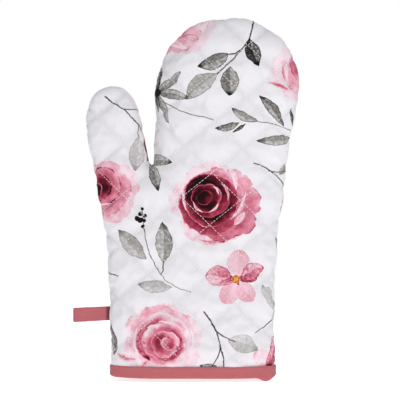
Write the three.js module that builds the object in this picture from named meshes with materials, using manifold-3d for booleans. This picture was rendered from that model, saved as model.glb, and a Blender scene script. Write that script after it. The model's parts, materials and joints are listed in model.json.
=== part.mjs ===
// A quilted cotton oven mitt that stands on its open cuff with the fingers up.
// Units are millimetres. +Z runs from the cuff to the fingertips, the printed palm side faces -Y
// and the thumb is on the -X side. The front and the back are mirror images across the side seam,
// which lies in the plane y = 0. The origin is on the ground, under the middle of the whole width.
import * as THREE from 'three';
import { mergeVertices } from 'three/addons/utils/BufferGeometryUtils.js';
import Module from 'manifold-3d';

const wasm = await Module();
wasm.setup();

// ---- Sizes of the mitt, measured on the outside of the printed cotton ----
const MITT_HEIGHT = 300;
const CUFF_WIDTH = 136;
const CUFF_DEPTH = 48;
const HAND_WIDTH = 118;
const HAND_DEPTH = 50;
const HAND_CENTRE_X = 28.3; // the fingers lean away from the thumb, measured from the cuff's middle
const HAND_TIP_RISE = 58; // height of the rounded fingertips
const THUMB_HEIGHT = 244;
const THUMB_WIDTH = 45;
const THUMB_DEPTH = 36;
const THUMB_CENTRE_X = -66.5;
const THUMB_TIP_RISE = 26;
const THUMB_ROOT_HEIGHT = 40; // the thumb tube starts here, inside the wrist
const THUMB_ROOT_COVER = 10; // how far the root lies inside the wrist's edge
const THUMB_ROOT_WIDTH = 38;

// ---- Layers of each quilted panel, from the outside in ----
const SHELL_THICKNESS = 0.6;
const BATTING_THICKNESS = 3.2;
const LINING_THICKNESS = 0.5;
const LAYER_GAP = 0.3;
const SEAM_GAP = 1.2; // between the front and the back panel, where the seam thread runs
const SEAM_THREAD_DEPTH = 1.2; // how far inside the outline the panels are sewn together

// ---- Binding, hanging loop and thread ----
const BINDING_HEIGHT = 12;
const BINDING_THICKNESS = 0.8;
const BINDING_STITCH_INSET = 1.8; // from the binding's upper edge to its row of stitches
const THREAD = 0.6;
const LOOP_REACH = 29; // from the seam to the loop's folded end
const LOOP_TAPE_WIDTH = 12;
const LOOP_TAPE_THICKNESS = 1.2;
const LOOP_END_RADIUS = 4.6;
const LOOP_HEIGHT = 55.5; // middle of the tape above the ground
const LOOP_DROOP = THREE.MathUtils.degToRad(3);
const LOOP_SEAM_CLEARANCE = 1.3;
const LOOP_STITCH_INSET = 1.8;

// ---- Quilting: two families of straight lines that cross nearly at right angles ----
const QUILT_SPACING = 32;
const QUILT_RISING_ANGLE = THREE.MathUtils.degToRad(38.5);
const QUILT_FALLING_ANGLE = THREE.MathUtils.degToRad(-44);
const QUILT_CROSSING = new THREE.Vector2(-11.6, 109.2); // one crossing, from the cuff's middle

// ---- Fineness of the curved walls ----
const HAND_SIDES = 20;
const THUMB_SIDES = 14;
const TIP_STEPS = 4;
const TIP_LAST_ANGLE = THREE.MathUtils.degToRad(86);

// ---- Values that follow from the sizes ----
const BINDING_OUTSIDE = -(LAYER_GAP + BINDING_THICKNESS);
const BATTING_INSET = SHELL_THICKNESS + LAYER_GAP;
const LINING_INSET = BATTING_INSET + BATTING_THICKNESS + LAYER_GAP;
const WALL = LINING_INSET + LINING_THICKNESS;
const BINDING_INSIDE = WALL + LAYER_GAP + BINDING_THICKNESS;
const PANEL_FLOOR = BINDING_THICKNESS + LAYER_GAP;
const CUFF_STRAIGHT = BINDING_HEIGHT + 2;
const BELOW_GROUND = -10; // where the cutting solids start
const REACH = 2 * (MITT_HEIGHT + CUFF_WIDTH); // longer than any cut through the mitt

// How the hand's two edges leave the cuff's width and arrive at the fingers' width:
// share of the height below the fingertips, share of the way for the thumb side, for the far side.
const HAND_EDGES = [
  [0.0, 0.0, 0.0],
  [0.3, 0.04, 0.02],
  [0.48, 0.3, 0.12],
  [0.64, 0.8, 0.36],
  [0.78, 1.0, 0.55],
  [1.0, 1.0, 1.0],
];

// The same for the thumb tube, from its root inside the wrist up to the start of its rounded tip.
const THUMB_EDGES = [
  [0.0, 0.0, 0.0],
  [0.4, 0.42, 0.25],
  [0.79, 0.81, 0.68],
  [1.0, 1.0, 1.0],
];

const GREY_WHITE = 0xf1eff3;
const ROSE = 0xcf7f85;

function fabric(colour, roughness) {
  return new THREE.MeshStandardMaterial({ color: colour, roughness, metalness: 0 });
}

// ---- Solids ----

// A closed geometry as a solid: vertices that share a place are one.
function solidOf(geometry) {
  const bare = geometry.clone();
  bare.deleteAttribute('normal');
  bare.deleteAttribute('uv');
  const merged = mergeVertices(bare, 1e-4);
  return new wasm.Manifold(new wasm.Mesh({
    numProp: 3,
    vertProperties: new Float32Array(merged.attributes.position.array),
    triVerts: new Uint32Array(merged.index.array),
  }));
}

function meshOf(name, solid, material) {
  const { numProp, vertProperties, triVerts } = solid.getMesh();
  const geometry = new THREE.BufferGeometry();
  geometry.setAttribute('position', new THREE.BufferAttribute(vertProperties, numProp));
  geometry.setIndex(new THREE.BufferAttribute(triVerts, 1));
  geometry.computeVertexNormals();
  const mesh = new THREE.Mesh(geometry, material);
  mesh.name = name;
  return mesh;
}

function box(low, high) {
  const size = new THREE.Vector3().subVectors(high, low);
  const middle = new THREE.Vector3().addVectors(low, high).multiplyScalar(0.5);
  const geometry = new THREE.BoxGeometry(size.x, size.y, size.z);
  geometry.translate(middle.x, middle.y, middle.z);
  return solidOf(geometry);
}

// A slab that holds everything between two planes square to Y.
function slabAcross(lowY, highY) {
  return box(new THREE.Vector3(-REACH, lowY, -REACH), new THREE.Vector3(REACH, highY, REACH));
}

// A closed tube through level oval sections: each has a height, a left and right edge and a depth.
function tubeThrough(sections, sides) {
  const geometry = new THREE.CylinderGeometry(1, 1, 1, sides, sections.length - 1);
  const place = geometry.attributes.position;
  for (let i = 0; i < place.count; i += 1) {
    const row = Math.round((place.getY(i) + 0.5) * (sections.length - 1));
    const { z, left, right, depth } = sections[row];
    const x = (left + right) / 2 + place.getX(i) * (right - left) / 2;
    const y = -place.getZ(i) * depth / 2;
    place.setXYZ(i, x, y, z);
  }
  return solidOf(geometry);
}

function insetSection(section, inset) {
  return {
    z: section.z,
    left: section.left + inset,
    right: section.right - inset,
    depth: section.depth - 2 * inset,
  };
}

// Sections of a rounded tip that rises from one section and closes over it.
function tipSections(base, rise) {
  const sections = [];
  const middle = (base.left + base.right) / 2;
  for (let step = 1; step <= TIP_STEPS; step += 1) {
    const angle = TIP_LAST_ANGLE * step / TIP_STEPS;
    const halfWidth = (base.right - base.left) / 2 * Math.cos(angle);
    sections.push({
      z: base.z + rise * Math.sin(angle) / Math.sin(TIP_LAST_ANGLE),
      left: middle - halfWidth,
      right: middle + halfWidth,
      depth: base.depth * Math.cos(angle),
    });
  }
  return sections;
}

// Level sections between a bottom and a top one, following a list of edge shares.
function sectionsAlong(bottom, top, edges) {
  return edges.map(([share, leftShare, rightShare]) => ({
    z: THREE.MathUtils.lerp(bottom.z, top.z, share),
    left: THREE.MathUtils.lerp(bottom.left, top.left, leftShare),
    right: THREE.MathUtils.lerp(bottom.right, top.right, rightShare),
    depth: THREE.MathUtils.lerp(bottom.depth, top.depth, share),
  }));
}

function cuffSection(z) {
  return { z, left: -CUFF_WIDTH / 2, right: CUFF_WIDTH / 2, depth: CUFF_DEPTH };
}

// The hand and wrist without the thumb, drawn in by an inset on every side but the open cuff.
function handTube(inset, floor) {
  const knuckles = {
    z: MITT_HEIGHT - HAND_TIP_RISE,
    left: HAND_CENTRE_X - HAND_WIDTH / 2,
    right: HAND_CENTRE_X + HAND_WIDTH / 2,
    depth: HAND_DEPTH,
  };
  const straight = sectionsAlong(cuffSection(CUFF_STRAIGHT), knuckles, HAND_EDGES);
  const walls = [cuffSection(floor), ...straight].map((section) => insetSection(section, inset));
  return tubeThrough([...walls, ...tipSections(walls.at(-1), HAND_TIP_RISE - inset)], HAND_SIDES);
}

function thumbTube(inset) {
  const rootLeft = THUMB_ROOT_COVER - CUFF_WIDTH / 2;
  const root = {
    z: THUMB_ROOT_HEIGHT,
    left: rootLeft,
    right: rootLeft + THUMB_ROOT_WIDTH,
    depth: THUMB_DEPTH,
  };
  const joint = {
    z: THUMB_HEIGHT - THUMB_TIP_RISE,
    left: THUMB_CENTRE_X - THUMB_WIDTH / 2,
    right: THUMB_CENTRE_X + THUMB_WIDTH / 2,
    depth: THUMB_DEPTH,
  };
  const walls = sectionsAlong(root, joint, THUMB_EDGES).map((section) => insetSection(section, inset));
  return tubeThrough([...walls, ...tipSections(walls.at(-1), THUMB_TIP_RISE - inset)], THUMB_SIDES);
}

function mittSolid(inset, floor) {
  return handTube(inset, floor).add(thumbTube(inset));
}

// One layer of the wall: what lies between two insets, open at the cuff.
function layer(outerInset, innerInset, floor) {
  return mittSolid(outerInset, floor).subtract(mittSolid(innerInset, BELOW_GROUND));
}

function frontOf(solid) {
  return solid.intersect(slabAcross(-REACH, -SEAM_GAP / 2));
}

function backOf(solid) {
  return solid.intersect(slabAcross(SEAM_GAP / 2, REACH));
}

// An upright oval wall that follows the cuff between two insets.
function cuffWall(outerInset, innerInset, lowZ, highZ) {
  const wall = (inset, low, high) => {
    const sections = [cuffSection(low), cuffSection(high)];
    return tubeThrough(sections.map((section) => insetSection(section, inset)), HAND_SIDES);
  };
  return wall(outerInset, lowZ, highZ).subtract(wall(innerInset, lowZ - 1, highZ + 1));
}

// ---- Quilted panels: printed cotton, batting and lining, front and back ----

function addPanels(group) {
  const shell = layer(0, SHELL_THICKNESS, PANEL_FLOOR);
  const batting = layer(BATTING_INSET, BATTING_INSET + BATTING_THICKNESS, PANEL_FLOOR);
  const lining = layer(LINING_INSET, WALL, PANEL_FLOOR);
  group.add(meshOf('outer_shell_front', frontOf(shell), fabric(GREY_WHITE, 0.9)));
  group.add(meshOf('outer_shell_back', backOf(shell), fabric(GREY_WHITE, 0.9)));
  group.add(meshOf('batting_front', frontOf(batting), fabric(0xfaf9f5, 1)));
  group.add(meshOf('batting_back', backOf(batting), fabric(0xfaf9f5, 1)));
  group.add(meshOf('lining_front', frontOf(lining), fabric(0xf3f0ea, 0.95)));
  group.add(meshOf('lining_back', backOf(lining), fabric(0xf3f0ea, 0.95)));
}

// ---- Threads ----

// Upright sheets, one thread thick, that stand square to the front along one family of lines.
function quiltSheets(angle) {
  const along = new THREE.Vector2(Math.cos(angle), Math.sin(angle));
  const across = new THREE.Vector2(-along.y, along.x);
  const count = Math.ceil(MITT_HEIGHT / QUILT_SPACING);
  const sheets = [];
  for (let line = -count; line <= count; line += 1) {
    const middle = QUILT_CROSSING.clone().addScaledVector(across, line * QUILT_SPACING);
    const geometry = new THREE.BoxGeometry(2 * REACH, REACH, THREAD);
    geometry.rotateY(-angle);
    geometry.translate(middle.x, 0, middle.y);
    sheets.push(solidOf(geometry));
  }
  return wasm.Manifold.union(sheets);
}

// The quilting lies on the printed cotton above the binding. A run round the panel's edge, beside
// the side seam, ties the lines together.
function quiltingThread(isFront) {
  const low = -(LAYER_GAP + THREAD);
  const skin = layer(low, -LAYER_GAP, BINDING_HEIGHT + LAYER_GAP);
  const halfSkin = isFront ? frontOf(skin) : backOf(skin);
  const edgeY = SEAM_GAP / 2 + THREAD;
  const edgeRun = isFront ? slabAcross(-edgeY, 0) : slabAcross(0, edgeY);
  const lines = quiltSheets(QUILT_RISING_ANGLE).add(quiltSheets(QUILT_FALLING_ANGLE));
  return halfSkin.intersect(lines.add(edgeRun));
}

// The thread that joins the front to the back, just inside the outline, from cuff to cuff.
function sideSeamThread() {
  const run = layer(SEAM_THREAD_DEPTH, SEAM_THREAD_DEPTH + THREAD, PANEL_FLOOR);
  return run.intersect(slabAcross(-THREAD / 2, THREAD / 2));
}

function addThreads(group) {
  const white = fabric(0xf7f6f8, 0.7);
  group.add(meshOf('quilting_thread_front', quiltingThread(true), white));
  group.add(meshOf('quilting_thread_back', quiltingThread(false), white.clone()));
  group.add(meshOf('side_seam_thread', sideSeamThread(), white.clone()));
}

// ---- Cuff binding: a tape folded round the raw edges of both panels ----

function cuffBinding() {
  const channel = cuffWall(-LAYER_GAP, WALL + LAYER_GAP, BINDING_THICKNESS, BINDING_HEIGHT + 1);
  return cuffWall(BINDING_OUTSIDE, BINDING_INSIDE, 0, BINDING_HEIGHT).subtract(channel);
}

function bindingStitch(inset, direction) {
  const top = BINDING_HEIGHT - BINDING_STITCH_INSET;
  const near = inset + direction * LAYER_GAP;
  const far = near + direction * THREAD;
  return cuffWall(Math.min(near, far), Math.max(near, far), top - THREAD, top);
}

function addBinding(group) {
  const roseThread = fabric(0xd98f94, 0.7);
  group.add(meshOf('cuff_binding', cuffBinding(), fabric(ROSE, 0.85)));
  group.add(meshOf('binding_stitch_outside', bindingStitch(BINDING_OUTSIDE, -1), roseThread));
  group.add(meshOf('binding_stitch_inside', bindingStitch(BINDING_INSIDE, 1), roseThread.clone()));
}

// ---- Hanging loop: a tape doubled back on itself, with its two ends sewn into the side seam ----

// Two circles joined by their outer tangents: the seam end at the origin, the fold towards -X.
function teardrop(seamRadius, foldRadius, foldDistance, PathType) {
  const tangent = Math.acos((seamRadius - foldRadius) / foldDistance);
  const path = new PathType();
  path.absarc(-foldDistance, 0, foldRadius, Math.PI - tangent, Math.PI + tangent, false);
  path.absarc(0, 0, seamRadius, Math.PI + tangent, 3 * Math.PI - tangent, false);
  return path;
}

// A band that follows the loop's tape, between two distances outside the tape's inner face.
function loopBand(innerOffset, outerOffset, width) {
  const foldDistance = LOOP_REACH - LOOP_END_RADIUS;
  const foldInside = LOOP_END_RADIUS - LOOP_TAPE_THICKNESS;
  const pinch = 0.2; // radius of the eye's narrow end, where the two ends of the tape meet
  const shape = teardrop(pinch + outerOffset, foldInside + outerOffset, foldDistance, THREE.Shape);
  shape.holes.push(teardrop(pinch + innerOffset, foldInside + innerOffset, foldDistance, THREE.Path));
  const geometry = new THREE.ExtrudeGeometry(shape, {
    depth: width,
    bevelEnabled: false,
    curveSegments: 8,
  });
  return solidOf(geometry);
}

function loopStitch() {
  const near = LOOP_TAPE_THICKNESS + LAYER_GAP;
  const band = loopBand(near, near + THREAD, THREAD);
  const pastTheSeamEnd = new THREE.Vector3(-2 * LOOP_TAPE_THICKNESS, -REACH, -REACH);
  return band.subtract(box(pastTheSeamEnd, new THREE.Vector3(REACH, REACH, REACH)));
}

function hangingLoop() {
  const tape = meshOf('hanging_loop', loopBand(0, LOOP_TAPE_THICKNESS, LOOP_TAPE_WIDTH), fabric(ROSE, 0.85));
  tape.position.z = -LOOP_TAPE_WIDTH / 2;
  const stitch = meshOf('loop_stitch', loopStitch(), fabric(0xd98f94, 0.7));
  stitch.position.z = LOOP_TAPE_WIDTH / 2 - LOOP_STITCH_INSET - THREAD / 2;
  const loop = new THREE.Group();
  loop.add(tape, stitch);
  loop.position.set(-CUFF_WIDTH / 2 - LOOP_SEAM_CLEARANCE - LOOP_TAPE_THICKNESS, 0, LOOP_HEIGHT);
  loop.rotation.y = -LOOP_DROOP;
  return loop;
}

// ---- The whole mitt ----

function ovenMitt() {
  const mitt = new THREE.Group();
  addPanels(mitt);
  addThreads(mitt);
  addBinding(mitt);
  mitt.add(hangingLoop());
  const whole = new THREE.Box3().setFromObject(mitt, true);
  mitt.position.x = -(whole.min.x + whole.max.x) / 2;
  return mitt;
}

export default ovenMitt();
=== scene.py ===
"""A quilted cotton oven mitt with a watercolour flower print, standing on its bound cuff."""

import json
import math
from functools import lru_cache

import bpy
import numpy as np
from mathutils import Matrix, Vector, geometry, kdtree
from mathutils.bvhtree import BVHTree


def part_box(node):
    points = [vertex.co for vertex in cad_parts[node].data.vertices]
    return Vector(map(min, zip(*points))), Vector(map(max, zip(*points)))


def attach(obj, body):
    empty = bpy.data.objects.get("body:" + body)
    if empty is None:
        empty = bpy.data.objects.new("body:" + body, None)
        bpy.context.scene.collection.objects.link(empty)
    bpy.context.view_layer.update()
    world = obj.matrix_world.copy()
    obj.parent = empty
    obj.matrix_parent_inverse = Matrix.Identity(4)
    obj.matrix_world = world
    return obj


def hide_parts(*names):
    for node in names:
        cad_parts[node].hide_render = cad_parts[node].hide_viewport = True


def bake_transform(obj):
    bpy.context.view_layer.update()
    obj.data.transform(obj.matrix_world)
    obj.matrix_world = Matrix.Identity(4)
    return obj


bl_info = {
    "name": "Quilted oven mitt",
    "version": (1, 0, 0),
    "blender": (4, 5, 0),
    "location": "3D View > Sidebar > Mitt",
    "description": "Makes the fabric, threads and tapes of a quilted oven mitt round its frame",
    "category": "Add Mesh",
}

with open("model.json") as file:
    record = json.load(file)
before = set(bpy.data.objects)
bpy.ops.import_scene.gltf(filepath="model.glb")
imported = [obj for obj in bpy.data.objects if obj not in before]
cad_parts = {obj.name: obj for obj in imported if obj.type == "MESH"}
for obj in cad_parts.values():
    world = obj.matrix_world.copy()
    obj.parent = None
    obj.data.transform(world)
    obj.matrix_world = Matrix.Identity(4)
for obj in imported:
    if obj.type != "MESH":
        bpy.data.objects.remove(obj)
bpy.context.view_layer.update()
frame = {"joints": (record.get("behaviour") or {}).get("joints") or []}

MM = 0.001
CUFF_LOW, CUFF_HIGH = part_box("cuff_binding")
CUFF_X = (CUFF_LOW.x + CUFF_HIGH.x) / 2
SHELL_LOW, SHELL_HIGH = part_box("outer_shell_front")
MITT_TOP = SHELL_HIGH.z
OUTLINE_HEIGHT = 300 * MM  # height that the outline below is drawn to
LOOP_LOW, LOOP_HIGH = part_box("hanging_loop")
HINGE = Vector(frame["joints"][0]["pos_m"])

# ---- The mitt's outline, seen from the front, in millimetres from the middle of the cuff ----
# Up the thumb side, over the thumb, down into the crotch, over the fingers and down the far side.
OUTLINE = [
    (-68, 0), (-68, 33), (-69, 78), (-70.8, 113), (-74.5, 136), (-80, 163), (-85, 190),
    (-88.4, 210), (-87, 226), (-80.5, 237), (-71, 242.6), (-60, 242.8), (-51.5, 237),
    (-46.5, 225.5), (-42.2, 208), (-39, 190), (-36.3, 180.5), (-34.1, 177.5), (-32.4, 181),
    (-31, 192), (-30.6, 222), (-30.4, 244), (-27, 259), (-21, 272.5), (-11.5, 285),
    (3, 294.8), (21, 299.4), (39, 299.2), (57, 293.6), (72, 282.8), (82, 268.8), (87, 251),
    (86.6, 232), (82.5, 212), (78, 190), (75, 160), (71, 134), (69, 108), (67, 74), (67, 36),
    (68, 0),
]

# ---- Quilting, as sewn: two families of lines through one crossing ----
QUILT_CROSSING = Vector((-11.6, 109.2))
QUILT_RISING = math.radians(38.5)
QUILT_FALLING = math.radians(-44)
CELL_STEPS = 12  # mesh steps between two neighbouring lines of quilting

SEAM_HALF_GAP = 0.15 * MM  # each panel stops this far short of the side seam
CUFF_EDGE = 4.2 * MM  # height of the panels' raw edge, inside the folded tape
LINING_GAP = 0.9 * MM  # between the batting and the lining
BINDING_ROOM = 1.6 * MM  # for the lining, between the panel and the tape's inner fold
STITCH_INSET = 1.8 * MM  # from the edge of a tape to its row of stitches


# =============================== Settings ===============================


class MittSizes(bpy.types.PropertyGroup):
    quilt_spacing: bpy.props.FloatProperty(
        name="Quilting spacing",
        description="Distance between two neighbouring lines of quilting",
        default=32 * MM, subtype="DISTANCE", unit="LENGTH", precision=4,
    )
    half_depth: bpy.props.FloatProperty(
        name="Half depth",
        description="From the side seam to the middle of the palm, without the puff",
        default=(SHELL_HIGH.y - SHELL_LOW.y) - 1 * MM, subtype="DISTANCE", unit="LENGTH",
        precision=4,
    )
    roundness: bpy.props.FloatProperty(
        name="Roundness",
        description="How far in from the seam the panels keep curving",
        default=24 * MM, subtype="DISTANCE", unit="LENGTH", precision=4,
    )
    seam_tuck: bpy.props.FloatProperty(
        name="Seam tuck",
        description="How far the side seam lies inside the puffed outline",
        default=0.3 * MM, subtype="DISTANCE", unit="LENGTH", precision=4,
    )
    wall: bpy.props.FloatProperty(
        name="Panel thickness",
        description="Printed cotton and batting together, along the quilting",
        default=2.4 * MM, subtype="DISTANCE", unit="LENGTH", precision=4,
    )
    fabric_excess: bpy.props.FloatProperty(
        name="Fabric excess",
        description="How much longer the cotton is than the space between its stitches",
        default=0.05, subtype="FACTOR", min=0, max=0.2,
    )
    puff_pressure: bpy.props.FloatProperty(
        name="Puff pressure",
        description="How hard the batting presses the cotton out",
        default=10.0, min=0, max=50,
    )
    puff_limit: bpy.props.FloatProperty(
        name="Puff limit",
        description="The furthest that the cotton may rise between its stitches",
        default=5 * MM, subtype="DISTANCE", unit="LENGTH", precision=4,
    )
    stitch_length: bpy.props.FloatProperty(
        name="Stitch length",
        description="One stitch and the gap after it",
        default=2.9 * MM, subtype="DISTANCE", unit="LENGTH", precision=4,
    )
    thread: bpy.props.FloatProperty(
        name="Thread thickness",
        description="Diameter of the sewing thread",
        default=0.38 * MM, subtype="DISTANCE", unit="LENGTH", precision=5,
    )
    binding_height: bpy.props.FloatProperty(
        name="Binding height",
        description="Height of the folded tape round the cuff",
        default=CUFF_HIGH.z - CUFF_LOW.z, subtype="DISTANCE", unit="LENGTH", precision=4,
    )
    tape: bpy.props.FloatProperty(
        name="Tape thickness",
        description="Thickness of the folded cotton tape",
        default=1.0 * MM, subtype="DISTANCE", unit="LENGTH", precision=5,
    )


class MittColours(bpy.types.PropertyGroup):
    cotton: bpy.props.FloatVectorProperty(
        name="Cotton", description="Ground of the printed cotton",
        default=(0.86, 0.845, 0.885), subtype="COLOR", min=0, max=1,
    )
    lining: bpy.props.FloatVectorProperty(
        name="Lining", description="Cloth against the hand",
        default=(0.82, 0.8, 0.76), subtype="COLOR", min=0, max=1,
    )
    tape: bpy.props.FloatVectorProperty(
        name="Tape", description="Binding and hanging loop",
        default=(0.515, 0.146, 0.162), subtype="COLOR", min=0, max=1,
    )
    white_thread: bpy.props.FloatVectorProperty(
        name="White thread", description="Quilting thread",
        default=(0.985, 0.975, 0.985), subtype="COLOR", min=0, max=1,
    )
    rose_thread: bpy.props.FloatVectorProperty(
        name="Rose thread", description="Thread of the binding and the loop",
        default=(0.60, 0.21, 0.23), subtype="COLOR", min=0, max=1,
    )


def sizes():
    return bpy.context.scene.mitt_sizes


def colours():
    return bpy.context.scene.mitt_colours


# =============================== Curves and meshes ===============================


def at_front(x, z):
    """A place given in millimetres from the middle of the cuff, as (x, z) in metres."""
    return np.array((CUFF_X + x * MM, z * MM * MITT_TOP / OUTLINE_HEIGHT))


def smooth_path(points, step, closed=False):
    """Points a step apart along a Catmull-Rom curve through the given ones."""
    p = np.asarray(points, float)
    if closed:
        p = np.vstack((p[-1], p, p[0], p[1]))
    else:
        p = np.vstack((2 * p[0] - p[1], p, 2 * p[-1] - p[-2]))
    t = np.linspace(0, 1, 24, endpoint=False)[:, None]
    dense = []
    for a, b, c, d in zip(p, p[1:], p[2:], p[3:]):
        square, cube = 2 * a - 5 * b + 4 * c - d, 3 * b - a - 3 * c + d
        dense.append(0.5 * (2 * b + (c - a) * t + square * t**2 + cube * t**3))
    dense = np.vstack(dense + [p[-2][None]])
    return resample(dense, step)


def run_lengths(path):
    """How far along the line each of its points lies."""
    steps = np.linalg.norm(np.diff(path, axis=0), axis=1)
    return np.concatenate(([0], np.cumsum(steps)))


def along_line(lengths, values, where):
    """The values at places along a line, from the values at its points."""
    return np.stack([np.interp(where, lengths, column) for column in values.T], -1)


def resample(path, step):
    """The same line with its points evenly spaced, about a step apart."""
    lengths = run_lengths(path)
    count = max(2, round(lengths[-1] / step) + 1)
    return along_line(lengths, path, np.linspace(0, lengths[-1], count))


def unit(vectors):
    return vectors / np.maximum(np.linalg.norm(vectors, axis=1), 1e-12)[:, None]


def run_of(path):
    """The direction of the line at each of its points."""
    return unit(np.gradient(path, axis=0))


def right_of(run):
    """The directions to the right of the given ones, in the plane."""
    return np.stack((run[:, 1], -run[:, 0]), 1)


def offset_path(path, distance):
    """The open line moved sideways: a positive distance moves it to the right of its run."""
    return path + distance * right_of(run_of(path))


def new_object(name, verts, faces, material, smooth=True):
    """An object in the scene with a mesh of the given points and faces."""
    mesh = bpy.data.meshes.new(name)
    places = [tuple(map(float, v)) for v in verts]
    mesh.from_pydata(places, [], [tuple(map(int, f)) for f in faces])
    mesh.update()
    if smooth:
        mesh.shade_smooth()
    obj = bpy.data.objects.new(name, mesh)
    bpy.context.scene.collection.objects.link(obj)
    if material:
        mesh.materials.append(material)
    return obj


def coordinates(mesh):
    flat = np.empty(len(mesh.vertices) * 3)
    mesh.vertices.foreach_get("co", flat)
    return flat.reshape(-1, 3)


def set_attribute(mesh, name, values):
    """An attribute on the mesh's points, with one or three numbers for each."""
    values = np.asarray(values, np.float32)
    kind, field = ("FLOAT", "value") if values.ndim == 1 else ("FLOAT_VECTOR", "vector")
    layer = mesh.attributes.new(name, kind, "POINT")
    layer.data.foreach_set(field, values.ravel())


def with_modifiers(obj):
    return obj.evaluated_get(bpy.context.evaluated_depsgraph_get())


def apply_modifiers(obj):
    mesh = bpy.data.meshes.new_from_object(with_modifiers(obj))
    old = obj.data
    obj.modifiers.clear()
    obj.data = mesh
    mesh.name = old.name
    bpy.data.meshes.remove(old)


def round_off(obj):
    """Subdivides the object once, which rounds its edges."""
    obj.modifiers.new("smooth", "SUBSURF").levels = 1
    apply_modifiers(obj)


def band_faces(rows, columns, closed_rows=False, closed_columns=False):
    """Quads of a grid whose points are numbered row by row."""
    faces = []
    for r in range(rows if closed_rows else rows - 1):
        for c in range(columns if closed_columns else columns - 1):
            a = r * columns + c
            b = r * columns + (c + 1) % columns
            up = ((r + 1) % rows) * columns
            faces.append((a, b, up + (c + 1) % columns, up + c))
    return faces


# =============================== The panels' shape ===============================


SEAM_STEP = 2 * MM  # between two points of the outline
SEAM_ROWS = ((0.25, 0.2), (0.85, 0.7), (1.9, 1.6))  # millimetres in, and least clearance
INNER_CLEARANCE = 1.25 * MM  # from these rows to the points on the quilting lines


@lru_cache(maxsize=None)
def outline():
    """The side seam from the thumb side of the cuff to its far side, as (x, z) in metres."""
    points = [at_front(x, z) for x, z in OUTLINE]
    path = smooth_path(points, SEAM_STEP)
    tucked = offset_path(path, sizes().seam_tuck)
    tucked[:, 1] = np.maximum(tucked[:, 1], CUFF_EDGE)
    tucked[0, 1] = tucked[-1, 1] = CUFF_EDGE
    return resample(tucked, SEAM_STEP)


def quilt_axes():
    """The unit vectors square to the two families of lines, and the place of one crossing."""
    rising = np.array((-math.sin(QUILT_RISING), math.cos(QUILT_RISING)))
    falling = np.array((-math.sin(QUILT_FALLING), math.cos(QUILT_FALLING)))
    return rising, falling, at_front(*QUILT_CROSSING)


def quilt_coordinates(places):
    """How many spacings each place lies from the crossing, square to each family of lines."""
    rising, falling, crossing = quilt_axes()
    away = (np.asarray(places) - crossing) / sizes().quilt_spacing
    return away @ rising, away @ falling


def off_quilting(places):
    """How many spacings each place lies from the nearest line of quilting."""
    return np.abs([across - np.round(across) for across in quilt_coordinates(places)]).min(0)


def inside_outline(places, loop):
    """Whether each place lies inside the closed loop of points."""
    inside = np.zeros(len(places), bool)
    x, z = places.T
    for (x0, z0), (x1, z1) in zip(loop, np.roll(loop, -1, axis=0)):
        crosses = (z0 > z) != (z1 > z)
        if z1 != z0:
            inside ^= crosses & (x < (x1 - x0) * (z - z0) / (z1 - z0) + x0)
    return inside


def search_tree(places):
    tree = kdtree.KDTree(len(places))
    for i, (x, z) in enumerate(places):
        tree.insert((x, z, 0), i)
    tree.balance()
    return tree


def nearest_distance(places, targets):
    tree = search_tree(targets)
    return np.array([tree.find((x, z, 0))[2] for x, z in places])


@lru_cache(maxsize=None)
def flat_mesh():
    """Points and triangles that fill the outline, with rows of points on every line of quilting.

    Close rows follow the seam, where the puffed panel turns steeply away from the flat view.
    The first points are the seam's own."""
    seam = outline()
    cuff = resample(np.array((seam[-1], seam[0])), SEAM_STEP)[1:-1]
    loop = np.vstack((seam, cuff))
    edge = loop
    for distance, least in SEAM_ROWS:
        row = offset_path(seam, distance * MM)[2:-2]
        row = row[inside_outline(row, loop)]
        edge = np.vstack((edge, row[nearest_distance(row, loop) > least * MM]))

    rising, falling, crossing = quilt_axes()
    to_plane = np.linalg.inv(np.stack((rising, falling))) * sizes().quilt_spacing / CELL_STEPS
    reach = 16 * CELL_STEPS
    steps = np.arange(-reach, reach + 1)
    lattice = np.stack(np.meshgrid(steps, steps, indexing="ij"), -1).reshape(-1, 2)
    inner = lattice @ to_plane.T + crossing
    near = (inner > loop.min(0)).all(1) & (inner < loop.max(0)).all(1)
    inner = inner[near]
    inner = inner[inside_outline(inner, loop)]
    inner = inner[nearest_distance(inner, edge) > INNER_CLEARANCE]

    points = np.vstack((edge, inner))
    links = [(i, (i + 1) % len(loop)) for i in range(len(loop))]
    verts, _, faces, *_ = geometry.delaunay_2d_cdt(
        [Vector(p) * 1000 for p in points], links, [list(range(len(loop)))], 1, 1e-4
    )
    flat = np.array([tuple(v) for v in verts]) / 1000
    faces = np.array(faces)
    a, b, c = (flat[faces[:, k]] for k in range(3))
    turn = (b[:, 0] - a[:, 0]) * (c[:, 1] - a[:, 1]) - (b[:, 1] - a[:, 1]) * (c[:, 0] - a[:, 0])
    faces[turn < 0] = faces[turn < 0][:, ::-1]
    return flat, faces, len(seam)


def edge_weights(flat, faces):
    """Cotangent weights of the triangles' edges, and each point's share of the area."""
    pairs, weights = [], []
    mass = np.zeros(len(flat))
    for k in range(3):
        i, j, o = faces[:, k], faces[:, (k + 1) % 3], faces[:, (k + 2) % 3]
        u, v = flat[i] - flat[o], flat[j] - flat[o]
        cross = np.abs(u[:, 0] * v[:, 1] - u[:, 1] * v[:, 0])
        weights.append((u * v).sum(1) / np.maximum(cross, 1e-12) / 2)
        pairs.append(np.stack((i, j), 1))
        mass += np.bincount(o, cross / 6, len(flat))
    return np.vstack(pairs), np.concatenate(weights), mass


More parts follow.
